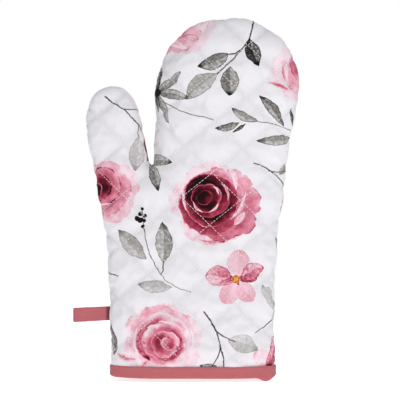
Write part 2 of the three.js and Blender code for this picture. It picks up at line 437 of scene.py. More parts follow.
def swell(flat, faces, fixed, reach):
    """A smooth field, 0 at the fixed points and 1 far from them: u - reach^2 laplace(u) = 1."""
    pairs, weights, mass = edge_weights(flat, faces)
    i, j = pairs.T
    count = len(flat)
    free = ~fixed

    def apply(u):
        flow = weights * (u[i] - u[j]) * reach**2
        return (mass * u + np.bincount(i, flow, count) - np.bincount(j, flow, count)) * free

    u = np.zeros(count)  # found by conjugate gradients
    rest = mass * free
    way = rest.copy()
    size = rest @ rest
    for _ in range(900):
        pulled = apply(way)
        step = size / (way @ pulled)
        u += step * way
        rest -= step * pulled
        grown = rest @ rest
        if grown < 1e-14 * (mass @ mass):
            break
        way = rest + grown / size * way
        size = grown
    return np.clip(u, 0, 1)


def flatten(places, faces, start, turns=260):
    """Cloth coordinates: the puffed panel laid flat, with every edge close to its real length."""
    edges = np.vstack([faces[:, [k, (k + 1) % 3]] for k in range(3)])
    edges = np.unique(np.sort(edges, axis=1), axis=0)
    i, j = edges.T
    length = np.linalg.norm(places[i] - places[j], axis=1)
    count = len(start)
    share = np.bincount(i, minlength=count) + np.bincount(j, minlength=count)
    flat = start.copy()
    speed = np.zeros_like(flat)  # the points keep most of their speed, so far ones settle sooner
    for _ in range(turns):
        along = flat[j] - flat[i]
        now = np.maximum(np.linalg.norm(along, axis=1), 1e-9)
        push = along * ((now - length) / now / 2)[:, None]
        pulls = [np.bincount(i, p, count) - np.bincount(j, p, count) for p in push.T]
        move = np.stack(pulls, 1) / share[:, None]
        speed = 0.9 * speed + 1.6 * move
        flat += speed
    return flat


class PanelShape:
    """The quilted front panel before it puffs up: the back is its mirror image across y = 0."""

    def __init__(self):
        self.flat, self.faces, seam_count = flat_mesh()
        fixed = np.zeros(len(self.flat), bool)
        fixed[:seam_count] = True
        self.seam = np.arange(seam_count)
        self.rise = swell(self.flat, self.faces, fixed, sizes().roundness)
        self.rise /= self.rise.max()
        x, z = self.flat.T
        depth = sizes().half_depth * np.sqrt(self.rise)
        self.places = np.stack((x, -depth - SEAM_HALF_GAP, z), 1)
        self.sewn = off_quilting(self.flat) < 0.25 / CELL_STEPS
        self.bound = z < sizes().binding_height - 1.5 * MM
        self.fixed = fixed
        self.cloth = flatten(self.places, self.faces, self.flat)
        self.tree = search_tree(self.flat)

    def cloth_coordinates(self):
        return np.column_stack((self.cloth, np.zeros(len(self.cloth))))

    def cloth_at(self, x, z):
        """Where on the flat cloth the place is that shows at x, z millimetres in front."""
        place = at_front(x, z)
        near = [i for _, i, _ in self.tree.find_n((place[0], place[1], 0), 3)]
        return self.cloth[near].mean(0) + place - self.flat[near].mean(0)


@lru_cache(maxsize=None)
def panel_shape():
    return PanelShape()


def mirrored(places, side):
    """The front panel's places as they are for side -1, or mirrored for side 1, the back."""
    return places * np.array((1, -side, 1))


def face_normals(places, faces):
    """Each triangle's normal, as long as twice its area."""
    a, b, c = (places[faces[:, k]] for k in range(3))
    return np.cross(b - a, c - a)


def outward(places, faces):
    """Unit normals of the points, from the triangles round them."""
    total = np.zeros_like(places)
    for axis, normal in enumerate(face_normals(places, faces).T):
        total[:, axis] = sum(np.bincount(corner, normal, len(places)) for corner in faces.T)
    return unit(total)


def rough_noise(places, scale, seed):
    """Smooth noise between -1 and 1 from a sum of sines in seeded directions."""
    rng = np.random.default_rng(seed)
    total = np.zeros(len(places))
    for _ in range(14):
        wave = rng.normal(size=places.shape[1])
        wave *= rng.uniform(0.6, 1.5) * 2 * math.pi / scale / np.linalg.norm(wave)
        total += np.sin(places @ wave + rng.uniform(0, 2 * math.pi))
    return total / 5


PILLOW_LIFT = 3.0 * MM  # how high each cell starts above its quilting
WAVER = 0.12 * MM  # how uneven the cells are
WAVER_SIZE = 14 * MM
CUFF_FADE = 14 * MM  # over this height above the binding the cells reach their full puff


def puffed(shape, seed):
    """The front panel's points once the batting has pressed the cotton out between stitches."""
    size = sizes()
    start = shape.places.copy()
    normals = outward(start, shape.faces)
    rising, falling = quilt_coordinates(shape.flat)
    pillow = np.abs(np.sin(math.pi * rising) * np.sin(math.pi * falling))
    held = shape.sewn | shape.fixed | shape.bound
    soft_edge = np.clip(shape.rise / 0.05, 0, 1)
    above_cuff = np.clip((shape.flat[:, 1] - size.binding_height) / CUFF_FADE, 0, 1)
    lift = PILLOW_LIFT * pillow**0.6 * soft_edge**0.5 * above_cuff
    start += normals * lift[:, None]
    waver = rough_noise(shape.flat, WAVER_SIZE, seed) * WAVER
    start += normals * (waver * (~shape.fixed) * above_cuff)[:, None]
    obj = new_object("cloth_being_puffed", start, shape.faces, None)
    group = obj.vertex_groups.new(name="sewn")
    group.add([int(i) for i in np.flatnonzero(held)], 1.0, "REPLACE")
    run_cloth(obj, size.puff_pressure, -size.fabric_excess)
    moved = coordinates(with_modifiers(obj).data)
    mesh = obj.data
    bpy.data.objects.remove(obj)
    bpy.data.meshes.remove(mesh)
    move = moved - shape.places
    length = np.linalg.norm(move, axis=1)
    limit = size.puff_limit
    move *= np.where(length > limit, limit / np.maximum(length, 1e-9), 1)[:, None]
    places = shape.places + move
    places[:, 1] = np.minimum(places[:, 1], -SEAM_HALF_GAP)
    return places


SETTLE_FRAMES = 18


def run_cloth(obj, pressure, shrink):
    """Lets the cloth settle under the pressure and leaves the modifier on its last frame."""
    cloth = obj.modifiers.new("cloth", "CLOTH")
    settings = cloth.settings
    settings.quality = 6
    settings.mass = 0.15
    settings.air_damping = 4
    settings.tension_stiffness = settings.compression_stiffness = 18
    settings.shear_stiffness = 8
    settings.bending_stiffness = 1.5
    settings.tension_damping = settings.compression_damping = 8
    settings.use_pressure = True
    settings.uniform_pressure_force = pressure
    settings.shrink_min = shrink
    settings.vertex_group_mass = "sewn"
    settings.pin_stiffness = 1
    settings.effector_weights.gravity = 0
    cloth.collision_settings.use_collision = False
    cloth.point_cache.frame_start = 1
    cloth.point_cache.frame_end = SETTLE_FRAMES
    for number in range(1, SETTLE_FRAMES + 1):
        bpy.context.scene.frame_set(number)


# =============================== Materials ===============================


def put(tree, kind, inputs=(), output=0, **settings):
    """Adds a node, sets or links its inputs, and gives back one of its outputs."""
    node = tree.nodes.new(kind)
    for key, value in settings.items():
        setattr(node, key, value)
    for key, value in dict(inputs).items():
        if isinstance(value, bpy.types.NodeSocket):
            tree.links.new(value, node.inputs[key])
        else:
            node.inputs[key].default_value = value
    return node.outputs[output] if len(node.outputs) else None


def calc(tree, operation, *values, clamp=False):
    """One step of arithmetic, kept between 0 and 1 where asked."""
    result = put(tree, "ShaderNodeMath", enumerate(values), operation=operation)
    return put(tree, "ShaderNodeClamp", {0: result}) if clamp else result


def vec(tree, operation, *values):
    number = operation in ("DOT_PRODUCT", "LENGTH", "DISTANCE")
    return put(tree, "ShaderNodeVectorMath", enumerate(values), int(number), operation=operation)


def vary(tree, value, swing, amount):
    """The value, moved up and down by a swing between 0 and 1 times the amount."""
    return calc(tree, "MULTIPLY_ADD", calc(tree, "SUBTRACT", swing, 0.5), amount, value)


def split(tree, place):
    """The three coordinates of a place."""
    return put(tree, "ShaderNodeSeparateXYZ", {0: place}).node.outputs[:]


def scaled(tree, vector, factor):
    return put(tree, "ShaderNodeVectorMath", {0: vector, 3: factor}, operation="SCALE")


def noise(tree, place, size, detail=2.0, output=0):
    """Noise whose patches are about the given size, in the units of the place."""
    inputs = {"Vector": place, "Scale": 1 / size, "Detail": detail, "Roughness": 0.55}
    return put(tree, "ShaderNodeTexNoise", inputs, output)


def blend_colours(tree, factor, a, b, way="MIX"):
    inputs = {0: factor, 6: a, 7: b}
    return put(tree, "ShaderNodeMix", inputs, 2, data_type="RGBA", blend_type=way)


def ramp(tree, value, stops):
    colour = put(tree, "ShaderNodeValToRGB", {0: value})
    points = colour.node.color_ramp.elements
    while len(points) < len(stops):
        points.new(0.5)
    for point, (place, shade) in zip(points, stops):
        point.position = place
        point.color = (*shade, 1)
    return colour


def new_material(name):
    material = bpy.data.materials.new(name)
    material.use_nodes = True
    tree = material.node_tree
    tree.nodes.clear()
    return material, tree


def cloth_place(tree):
    """The place on the flat cloth in millimetres."""
    place = put(tree, "ShaderNodeAttribute", output="Vector", attribute_name="cloth")
    return scaled(tree, place, 1 / MM)


def slubs(tree, place, size):
    """Uneven thick and thin threads, drawn out along the weft."""
    return noise(tree, vec(tree, "MULTIPLY", place, (0.3, 2.2, 1.0)), size)


def darkened(tree, shade, most):
    """The shade, lowered by up to the most where the piece's own shade attribute is 1: painted
    shade in creases, needle holes and seams.
    """
    painted_shade = put(tree, "ShaderNodeAttribute", output="Fac", attribute_name="shade")
    return calc(tree, "MULTIPLY", shade, calc(tree, "MULTIPLY_ADD", painted_shade, -most, 1.0))


def dyed(tree, colour, shade):
    """The colour, darkened evenly by the shade."""
    grey = put(tree, "ShaderNodeCombineColor", {0: shade, 1: shade, 2: shade})
    return blend_colours(tree, 1.0, colour, grey, "MULTIPLY")


def weave(tree, place, pitch):
    """The height of a plain weave at a place on the cloth, from 0 to 1."""
    x, y, _ = split(tree, place)
    wave = 2 * math.pi / pitch
    warp = calc(tree, "SINE", calc(tree, "MULTIPLY", x, wave))
    weft = calc(tree, "SINE", calc(tree, "MULTIPLY", y, wave))
    return calc(tree, "MULTIPLY_ADD", calc(tree, "MULTIPLY", warp, weft), 0.5, 0.5)


def finish_cloth(tree, colour, height, depth, roughness, sheen):
    """The material's surface: a dull cloth with a little sheen and the relief of its threads."""
    bump = put(tree, "ShaderNodeBump", {"Height": height, "Distance": depth, "Strength": 0.6})
    inputs = {
        "Base Color": colour, "Normal": bump, "Roughness": roughness, "Sheen Weight": sheen,
        "Sheen Roughness": 0.5, "Specular IOR Level": 0.15,
    }
    put(tree, "ShaderNodeOutputMaterial", {0: put(tree, "ShaderNodeBsdfPrincipled", inputs)})


@lru_cache(maxsize=None)
def plain_cloth(name, colour, pitch, sheen=0.15):
    """Plain-woven cloth in one dye, with slubs, cloudy dyeing and a shadow where it is sewn in."""
    material, tree = new_material(name)
    place = cloth_place(tree)
    cloud = noise(tree, place, 14.0, 3.0)
    slub = slubs(tree, place, 1.2)
    shade = calc(tree, "MULTIPLY_ADD", cloud, 0.16, 0.92)
    shade = vary(tree, shade, slub, 0.22)
    threads = weave(tree, place, pitch)
    shade = vary(tree, shade, threads, 0.08)
    shade = darkened(tree, shade, 1.0)
    colour = dyed(tree, (*colour, 1), shade)
    height = calc(tree, "MULTIPLY_ADD", slub, 0.6, threads)
    finish_cloth(tree, colour, height, 0.12 * MM, 0.85, sheen)
    return material


@lru_cache(maxsize=None)
def sewing_thread(name, colour):
    """Twisted polyester thread: a slight gloss, uneven colour and painted shade at its holes."""
    material, tree = new_material(name)
    place = put(tree, "ShaderNodeTexCoord", output="Object")
    fibre = noise(tree, place, 0.9 * MM, 3.0)
    patch = noise(tree, place, 12 * MM)
    shade = calc(tree, "MULTIPLY_ADD", fibre, 0.25, calc(tree, "MULTIPLY_ADD", patch, 0.15, 0.8))
    shade = darkened(tree, shade, 1.0)
    finish_cloth(tree, dyed(tree, (*colour, 1), shade), fibre, 0.1 * MM, 0.5, 0.2)
    return material


def rose_tape():
    return plain_cloth("rose_tape", tuple(colours().tape), 0.5, 0.08)


def white_thread():
    return sewing_thread("white_sewing_thread", tuple(colours().white_thread))


def rose_thread():
    return sewing_thread("rose_sewing_thread", tuple(colours().rose_thread))


# =============================== The flower print ===============================

# Every motif lies where it shows from the front, in millimetres from the middle of the cuff.
# Leaves: base, tip, width, darkness, bend. Stems: points from the thick end, width.
LEAVES = [
    ((29.6, 269.3), (3.6, 258.4), 12, 0.66, 1.6), ((46.2, 282.4), (53.6, 259), 12.5, 1.25, -1.0),
    ((20.4, 253.4), (-6, 232.2), 15.5, 0.36, -1.5), ((30.8, 258.8), (29.6, 234.6), 15, 0.66, 0.0),
    ((52.6, 214), (31.6, 225), 7.6, 0.48, 1.6), ((74, 210.6), (53.4, 235.4), 8.4, 0.7, -1.2),
    ((80, 210.8), (79.6, 226), 3.8, 0.95, 0.0), ((38.6, 212.8), (18, 208), 6.2, 0.66, 1.2),
    ((43, 212.3), (32.4, 205), 3.0, 0.9, 0.4), ((79, 201.4), (51.6, 198.3), 8.4, 0.5, 0.6),
    ((-46.4, 202), (-48.2, 172.6), 12.5, 0.2, 0.6), ((-32, 184.7), (-16.6, 180.6), 8.8, 0.52, 0.4),
    ((-34.3, 180.5), (-28.4, 156), 9.4, 0.6, 0.6), ((-37.5, 101), (-60.8, 125.4), 14.5, 0.36, 0.8),
    ((-23.9, 97.6), (-24.6, 132), 13.6, 0.48, -0.8), ((-16.5, 78.2), (-45, 80.6), 10.4, 0.26, 0.5),
    ((28, 35.9), (52.4, 26.2), 15.5, 0.22, 1.0), ((20.5, 12.6), (5, 14), 6.6, 0.5, 0.6),
    ((63.5, 58.6), (56, 80), 10, 0.18, -0.6), ((-64, 21), (-64.6, 48), 8.4, 0.66, 0.0),
    ((68.4, 103), (66.2, 119.5), 6.8, 0.45, 0.0), ((70, 170.5), (77.5, 181.5), 6.6, 0.42, 0.0),
    ((73.6, 158), (69.8, 140), 5.2, 0.26, 0.0),
]
BUD_CENTRE = (-26.6, 237.8)
BUD_RADIUS = 3.9
BUD_PETALS = [
    ((-25.6, 259), 7.5, 1.3, 0.0), ((-8.6, 255), 7.5, 0.72, -0.8), ((-3.5, 232.6), 8, 0.76, 1.0),
    ((-18.9, 212), 6, 0.66, 0.6), ((-27.6, 222), 6.5, 1.2, 0.0),
]
STEMS = [
    ([(49.6, 298.7), (48, 289.5), (45.5, 280.6), (40.3, 273.6), (29.5, 261.6),
      (19.6, 252.8)], 1.1),
    ([(39.6, 272.8), (34.6, 269.8), (28.9, 269)], 0.9), ([(45.5, 281), (47.5, 278)], 0.9),
    ([(44.7, 213.6), (57, 213.4), (69, 211.4), (82.3, 206)], 0.55),
    ([(-24.8, 231.4), (-11, 223.4), (0, 219), (17, 215.7)], 0.6),
    ([(-71.8, 233.7), (-64, 228), (-57.7, 223.7), (-49.5, 214), (-43.6, 206.6)], 1.05),
    ([(-57.7, 223.7), (-52, 223.2), (-46, 223.4)], 0.7),
    ([(-47.6, 211), (-46.4, 206), (-45.8, 201)], 0.7),
    ([(-41.5, 141.3), (-40.6, 130), (-38.4, 119), (-34.6, 105), (-29.9, 93.9), (-22, 84.5),
      (-13.3, 78.1), (-1.7, 74)], 0.65),
    ([(-23.9, 99.5), (-24.2, 93), (-25.5, 88.7)], 0.8),
    ([(-69, 91.4), (-64.5, 88.6), (-59.8, 87.3)], 0.9),
    ([(8.8, 57.9), (14.6, 50.5), (19.4, 41.8), (22, 33), (22.4, 28), (24.6, 21), (25.6, 12)], 1.2),
    ([(22.4, 28.6), (20, 20), (15.4, 13.6)], 1.0), ([(19.4, 41.8), (24.6, 38), (34.5, 33.6)], 1.0),
    ([(64.2, 65), (64.6, 57.5), (62.8, 51), (58.4, 45.6), (50.4, 40.6)], 0.85),
    ([(49.9, 180.3), (58, 176.8), (66.5, 171.4), (73.4, 163), (75, 154), (72.5, 146.3)], 0.95),
    ([(62, 173.6), (68, 172.6), (76, 173.4)], 0.75),
]
BERRIES = [
    ((-41.4, 142.4), 1.3), ((-42.9, 138.4), 1.7), ((-39.3, 136.5), 1.6), ((-45.3, 134.6), 2.0),
    ((-42.6, 133.2), 2.2), ((-40.0, 132.5), 1.6), ((-41.0, 127.9), 1.4),
]
# Roses: rings of petals from the outside in, each with its centre, radius, number of lobes, turn,
# dip between the lobes, pale shade at its edge, dark shade where the next ring starts, the
# direction in which it is darkest, how much darker, and how bright its rim is.
DARK_ROSE = [
    ((17, 147), 35, 5, 0.4, 0.18, 0.08, 0.15, -60, 0.03, -0.2),
    ((24.5, 146), 31, 7, 1.1, 0.14, 0.33, 0.42, -100, 0.11, -0.8),
    ((15.5, 147), 27, 2, 0.5, 0.10, 0.44, 0.78, 215, 0.16, 0.3),
    ((14.5, 149.5), 22.5, 3, 0.9, 0.08, 0.56, 0.96, -45, 0.14, 0.75),
    ((12, 153), 18.5, 2, 2.1, 0.10, 0.76, 0.96, 130, 0.14, 0.2),
    ((11, 151.5), 12.5, 3, 0.5, 0.14, 0.66, 1.0, 200, 0.14, 0.5),
    ((9.4, 151.5), 7, 2, 0.9, 0.2, 0.86, 1.0, 160, 0.10, 0.35),
]
THUMB_ROSE = [
    ((-69, 157), 27, 4, 0.7, 0.20, 0.08, 0.17, -80, 0.05, -0.5),
    ((-72, 159), 23, 5, 1.5, 0.10, 0.20, 0.34, -40, 0.08, -0.6),
    ((-73.4, 161.5), 16, 1, 0.3, 0.04, 0.36, 0.54, 210, 0.10, -1.8),
    ((-75, 160), 11, 2, 0.8, 0.12, 0.48, 0.74, 20, 0.16, -1.2),
    ((-76.4, 158.5), 6.2, 3, 0.2, 0.14, 0.62, 0.98, -60, 0.14, 0.7),
]
PEONY = [
    ((-25, 33.5), 32.5, 6, 0.5, 0.18, 0.07, 0.13, 120, 0.04, -0.4),
    ((-26, 38), 26, 5, 0.1, 0.10, 0.14, 0.26, 130, 0.05, -0.6),
    ((-24.5, 35.5), 22, 3, 1.2, 0.08, 0.15, 0.58, 200, 0.14, 0.6),
    ((-23.5, 34), 17.5, 3, 0.2, 0.12, 0.22, 0.66, -60, 0.24, 0.4),
    ((-22.5, 31.5), 12, 3, 1.0, 0.14, 0.24, 0.52, 170, 0.20, 0.5),
    ((-20, 32), 6.5, 3, 0.1, 0.2, 0.26, 0.50, -30, 0.12, 0.35),
]
PALE_ROSE = [
    ((-5, 290.5), 28.5, 5, 0.9, 0.17, 0.04, 0.08, 200, 0.04, -0.4),
    ((-11, 288.5), 23.5, 4, 0.2, 0.13, 0.13, 0.20, -100, 0.08, -0.9),
    ((-11, 292), 16, 3, 1.3, 0.1, 0.10, 0.30, -70, 0.10, 0.4),
    ((-13, 294), 10, 3, 0.3, 0.1, 0.16, 0.32, 30, 0.1, -0.8),
]
SIDE_ROSE = [
    ((85, 255), 26, 5, 0.2, 0.2, 0.04, 0.07, -90, 0.03, -0.3),
    ((88.5, 254), 21.5, 4, 1.1, 0.16, 0.13, 0.20, 190, 0.08, -0.8),
    ((88, 259), 15, 2, 0.4, 0.1, 0.20, 0.36, 170, 0.12, -1.0),
    ((91, 260), 9, 3, 0.9, 0.1, 0.26, 0.46, 100, 0.1, 0.3),
]
# Petals: base, tip, width, darkness of the rose pigment, bend, and how much it fades to the tip.
PETALS = [
    ((35.8, 87), (38.4, 109), 18.5, 0.13, 0.0, -0.6),
    ((31, 84.8), (10.4, 88.6), 17, 0.78, -1.0, 0.5),
    ((39, 84.6), (57.4, 94.5), 13.5, 0.95, 1.4, 0.5),
    ((32.5, 81.5), (25.4, 64.5), 15.5, 0.12, 0.6, -0.8),
    ((37, 81.5), (49.6, 67.5), 15, 0.12, -0.6, -0.8), ((33, 84.6), (22, 81.6), 6, 1.0, 0.6, 0.5),
    ((37.5, 84), (51.5, 85), 7, 1.1, 0.9, 0.5), ((61.5, 17), (49, 23.5), 13, 0.17, 0.0, 0.0),
    ((60.6, 12.5), (66, 38), 10.5, 0.95, 0.0, 0.4), ((62, 13), (52, 10), 8.5, 0.16, 0.0, 0.0),
    ((61.5, 12), (66.5, 20), 5.5, 1.2, 0.0, 0.3),
]
# The same, painted wet and soft-edged: the darker folds inside the roses.
FOLDS = [
    ((60, 246.6), (78, 239.6), 5.2, 0.44, 0.8, -0.3),
    ((76.4, 275), (83.6, 259.6), 2.8, 0.62, 1.5, 0.0),
    ((73.4, 269.6), (76.6, 249.6), 2.6, 0.46, -1.5, 0.0),
    ((-13, 283.6), (8, 286), 3.8, 0.75, -1.0, 0.0), ((7, 284), (13.5, 296.5), 2.8, 0.5, -1.6, 0.0),
    ((-21.8, 270.6), (-2.5, 270), 2.8, 0.42, 1.5, 0.0),
    ((-2.5, 270), (9.7, 281), 2.6, 0.4, 1.8, 0.0), ((-30, 266), (-14, 276), 3.0, 0.34, 1.4, 0.0),
    ((-42, 45), (-35, 18), 11, 0.82, -3.0, 0.0), ((-25, 17), (-9.5, 38), 11, 0.88, -3.6, 0.2),
    ((-39, 45), (-16, 45), 4.4, 0.6, 4.0, 0.0), ((-36, 33), (-30, 45), 7, 0.62, 1.4, 0.2),
    ((-62, 23.5), (-46, 19), 6.5, 0.72, -1.4, 0.3), ((-22, 38), (-17, 35), 5.4, 0.85, 0.6, 0.0),
    ((-15, 31), (-12, 26), 4.6, 0.85, 0.8, 0.0), ((-30, 25), (-18, 20), 6, 0.6, -2.0, 0.0),
    ((-43, 11), (-33, 22), 6, 0.66, 0.8, 0.4), ((-5, 22), (-0.5, 44), 3.6, 0.36, 2.0, 0.2),
    ((-40, 58), (-14, 58), 3.6, 0.36, 4.5, 0.0), ((36, 168), (43, 148), 5, 0.5, 2.0, 0.0),
    ((4, 118), (30, 117), 6, 0.66, -2.0, 0.2), ((-2, 130), (14, 124), 4, 0.85, -2.6, 0.0),
    ((-79, 163), (-77, 151), 3, 0.95, 1.4, 0.0), ((-66, 171), (-63, 152), 2.8, 0.75, 2.6, 0.0),
    ((-46.0, 221), (-36.2, 177), 2.8, 0.75, 0.0, 0.0),
]
STAMENS = [
    ((34.6, 84.6), 1.7), ((36.6, 86.8), 1.0), ((32.8, 83.2), 0.9), ((33.0, 86.6), 0.7),
    ((37.4, 83.8), 0.8), ((35.0, 81.8), 0.7), ((31.6, 85.0), 0.6),
]
DARK_SPOTS = [
    ((34.6, 84.4), 3.2), ((31.0, 86.4), 1.2), ((38.6, 86), 1.3), ((36, 80.8), 1.1),
]
# White marks left in the roses: base, tip, width, bend.
HIGHLIGHT_TONE = 0.95
HIGHLIGHTS = [
    ((22, 164), (28, 149), 2.8, 3.0), ((15.5, 161), (20.5, 153.5), 2.2, 1.8),
    ((20.5, 147.5), (13, 139.5), 2.4, 1.8), ((0, 149), (9, 139.5), 2.2, -2.0),
    ((28.5, 177), (35, 157), 4.2, 2.4), ((43, 158), (30, 133.5), 2.8, 3.2),
    ((-7, 163), (-5, 140), 2.4, -1.8), ((33, 129), (42.5, 139.5), 5.2, 0.0),
    ((-37, 53), (-14, 53), 2.2, 4.0), ((-45.5, 46), (-43, 22), 2.6, -3.0),
    ((-3.5, 47), (-3, 22), 2.6, 3.4), ((-63, 28.5), (-47.5, 23.5), 2.2, -2.0),
    ((-26, 286.5), (-4, 274), 6.0, -1.6), ((-88, 151), (-66, 147.5), 2.0, -2.2),
    ((78, 268), (77, 246), 3.0, -2.0),
]


def new_group(name, inputs, outputs):
    """An empty node group and its input sockets by name. A capital starts a vector's name."""
    tree = bpy.data.node_groups.new(name, "ShaderNodeTree")
    for way, sockets in (("INPUT", inputs), ("OUTPUT", outputs)):
        for socket in sockets:
            kind = "Vector" if socket[0].isupper() else "Float"
            tree.interface.new_socket(socket, in_out=way, socket_type="NodeSocket" + kind)
    source = tree.nodes.new("NodeGroupInput")
    return tree, {name: source.outputs[name] for name in inputs}


def put_group(tree, group, inputs):
    """Adds a group, sets or links its inputs, and gives back its outputs."""
    return put(tree, "ShaderNodeGroup", inputs, node_tree=group).node.outputs


def hand_on(tree, place, mark):
    """The same place, but worked out after the mark, so that marks are painted one by one.

    Hundreds of marks worked out side by side would need more memory than a shader has."""
    return vec(tree, "ADD", place, scaled(tree, (1e-9, 1e-9, 0.0), mark))


@lru_cache(maxsize=None)
def stroke_group():
    """One brush mark from a base to a tip: pointed, and darker at its edge, vein and tip."""
    names = ["Place", "Base", "Along", "Across", "half", "bend", "power", "tone", "fade", "crisp",
             "grain", "before"]
    tree, at = new_group("brush_stroke", names, ["after", "Next"])
    away = vec(tree, "SUBTRACT", at["Place"], at["Base"])
    t = vec(tree, "DOT_PRODUCT", away, at["Along"])
    side = vec(tree, "DOT_PRODUCT", away, at["Across"])
    rest = calc(tree, "SUBTRACT", 1.0, t)
    bow = calc(tree, "MULTIPLY", calc(tree, "MULTIPLY", t, rest), 4.0, clamp=True)
    side = calc(tree, "SUBTRACT", side, calc(tree, "MULTIPLY", bow, at["bend"]))
    lean = calc(tree, "MULTIPLY_ADD", side, 0.9, 0.5, clamp=True)
    side = calc(tree, "ABSOLUTE", side)
    width = calc(tree, "MULTIPLY", calc(tree, "POWER", bow, at["power"]), at["half"])
    deep = calc(tree, "SUBTRACT", width, side)
    mask = calc(tree, "MULTIPLY", deep, calc(tree, "MULTIPLY", at["crisp"], 2.6), clamp=True)
    edge = calc(tree, "MULTIPLY_ADD", deep, -1.0, 1.0, clamp=True)
    vein = calc(tree, "MULTIPLY_ADD", side, -2.4, 1.0, clamp=True)
    tip = calc(tree, "MULTIPLY_ADD", t, 5.0, -4.0, clamp=True)
    edge = calc(tree, "MULTIPLY", edge, at["crisp"])
    tone = calc(tree, "MULTIPLY_ADD", edge, 0.75, at["grain"])
    tone = calc(tree, "MULTIPLY_ADD", vein, 0.28, tone)
    tone = calc(tree, "MULTIPLY_ADD", lean, -0.24, tone)
    fading = calc(tree, "SUBTRACT", 1.0, calc(tree, "MULTIPLY", at["fade"], t))
    tone = calc(tree, "MULTIPLY", tone, fading)
    pool = calc(tree, "SUBTRACT", tip, at["fade"], clamp=True)
    tone = calc(tree, "MULTIPLY_ADD", pool, 1.1, tone)
    tone = calc(tree, "MULTIPLY", tone, at["tone"])
    mark = calc(tree, "MULTIPLY", tone, mask, clamp=True)
    after = calc(tree, "MAXIMUM", at["before"], mark)
    put(tree, "NodeGroupOutput", {"after": after, "Next": hand_on(tree, at["Place"], after)})
    return tree


@lru_cache(maxsize=None)
def line_group():
    """A straight piece of a thin stem with round ends; a piece of no length is a dot."""
    names = ["Place", "Base", "Run", "Along", "half", "tone", "before"]
    tree, at = new_group("brush_line", names, ["after", "Next"])
    away = vec(tree, "SUBTRACT", at["Place"], at["Base"])
    t = vec(tree, "DOT_PRODUCT", away, at["Along"])
    t = calc(tree, "MULTIPLY", t, 1.0, clamp=True)
    far = vec(tree, "LENGTH", vec(tree, "SUBTRACT", away, scaled(tree, at["Run"], t)))
    mask = calc(tree, "MULTIPLY", calc(tree, "SUBTRACT", at["half"], far), 2.4, clamp=True)
    mark = calc(tree, "MULTIPLY", mask, at["tone"])
    after = calc(tree, "MAXIMUM", at["before"], mark)
    put(tree, "NodeGroupOutput", {"after": after, "Next": hand_on(tree, at["Place"], after)})
    return tree


@lru_cache(maxsize=None)
def ring_group():
    """One ring of a rose's petals, painted over the rings outside it."""
    names = ["Place", "Centre", "radius", "lobes", "turn", "dip", "pale", "dark", "lit", "swing",
             "rim", "shade", "cover", "blotch"]
    tree, at = new_group("petal_ring", names, ["shade_after", "cover_after", "Next"])
    away = vec(tree, "SUBTRACT", at["Place"], at["Centre"])
    x, y, _ = split(tree, away)
    far = vec(tree, "LENGTH", away)
    angle = calc(tree, "ARCTAN2", y, x)
    half_lobes = calc(tree, "MULTIPLY", at["lobes"], 0.5)
    lobe = calc(tree, "MULTIPLY_ADD", angle, half_lobes, at["turn"])
    lobe = calc(tree, "POWER", calc(tree, "ABSOLUTE", calc(tree, "SINE", lobe)), 0.45)
    lobe = calc(tree, "MULTIPLY", calc(tree, "SUBTRACT", 1.0, lobe), at["dip"])
    size = calc(tree, "MULTIPLY", at["radius"], calc(tree, "SUBTRACT", 1.0, lobe))
    reach = calc(tree, "MULTIPLY", at["radius"], 0.24)
    ragged = vary(tree, size, at["blotch"], reach)
    deep = calc(tree, "SUBTRACT", ragged, far)
    mask = calc(tree, "MULTIPLY", deep, 1.6, clamp=True)
    fall = calc(tree, "DIVIDE", deep, calc(tree, "MULTIPLY", at["radius"], 0.36), clamp=True)
    fall = calc(tree, "POWER", fall, 1.4)
    span = calc(tree, "SUBTRACT", at["dark"], at["pale"])
    shade = calc(tree, "MULTIPLY_ADD", fall, span, at["pale"])
    around = calc(tree, "COSINE", calc(tree, "SUBTRACT", angle, at["lit"]))
    shade = calc(tree, "MULTIPLY_ADD", around, at["swing"], shade)
    pool = vary(tree, shade, at["blotch"], 0.5)
    line = calc(tree, "ABSOLUTE", calc(tree, "SUBTRACT", deep, 0.75))
    line = calc(tree, "MULTIPLY_ADD", line, -1.4, 1.0, clamp=True)
    some = calc(tree, "MULTIPLY_ADD", at["blotch"], 6.0, -2.4, clamp=True)
    line = calc(tree, "MULTIPLY", calc(tree, "MULTIPLY", line, some), at["rim"])
    pool = calc(tree, "SUBTRACT", pool, calc(tree, "MULTIPLY", line, pool))
    pool = calc(tree, "MAXIMUM", pool, 0.05)
    step = calc(tree, "MULTIPLY", calc(tree, "SUBTRACT", pool, at["shade"]), mask)
    after = calc(tree, "ADD", at["shade"], step)
    cover = calc(tree, "MAXIMUM", at["cover"], mask)
    outputs = {"shade_after": after, "cover_after": cover}
    put(tree, "NodeGroupOutput", {**outputs, "Next": hand_on(tree, at["Place"], after)})
    return tree


def motif_place(x, z):
    """Where on the flat cloth, in millimetres, the place is that shows at x, z in front."""
    place = panel_shape().cloth_at(x, z) / MM
    return np.array((place[0], place[1], 0.0))


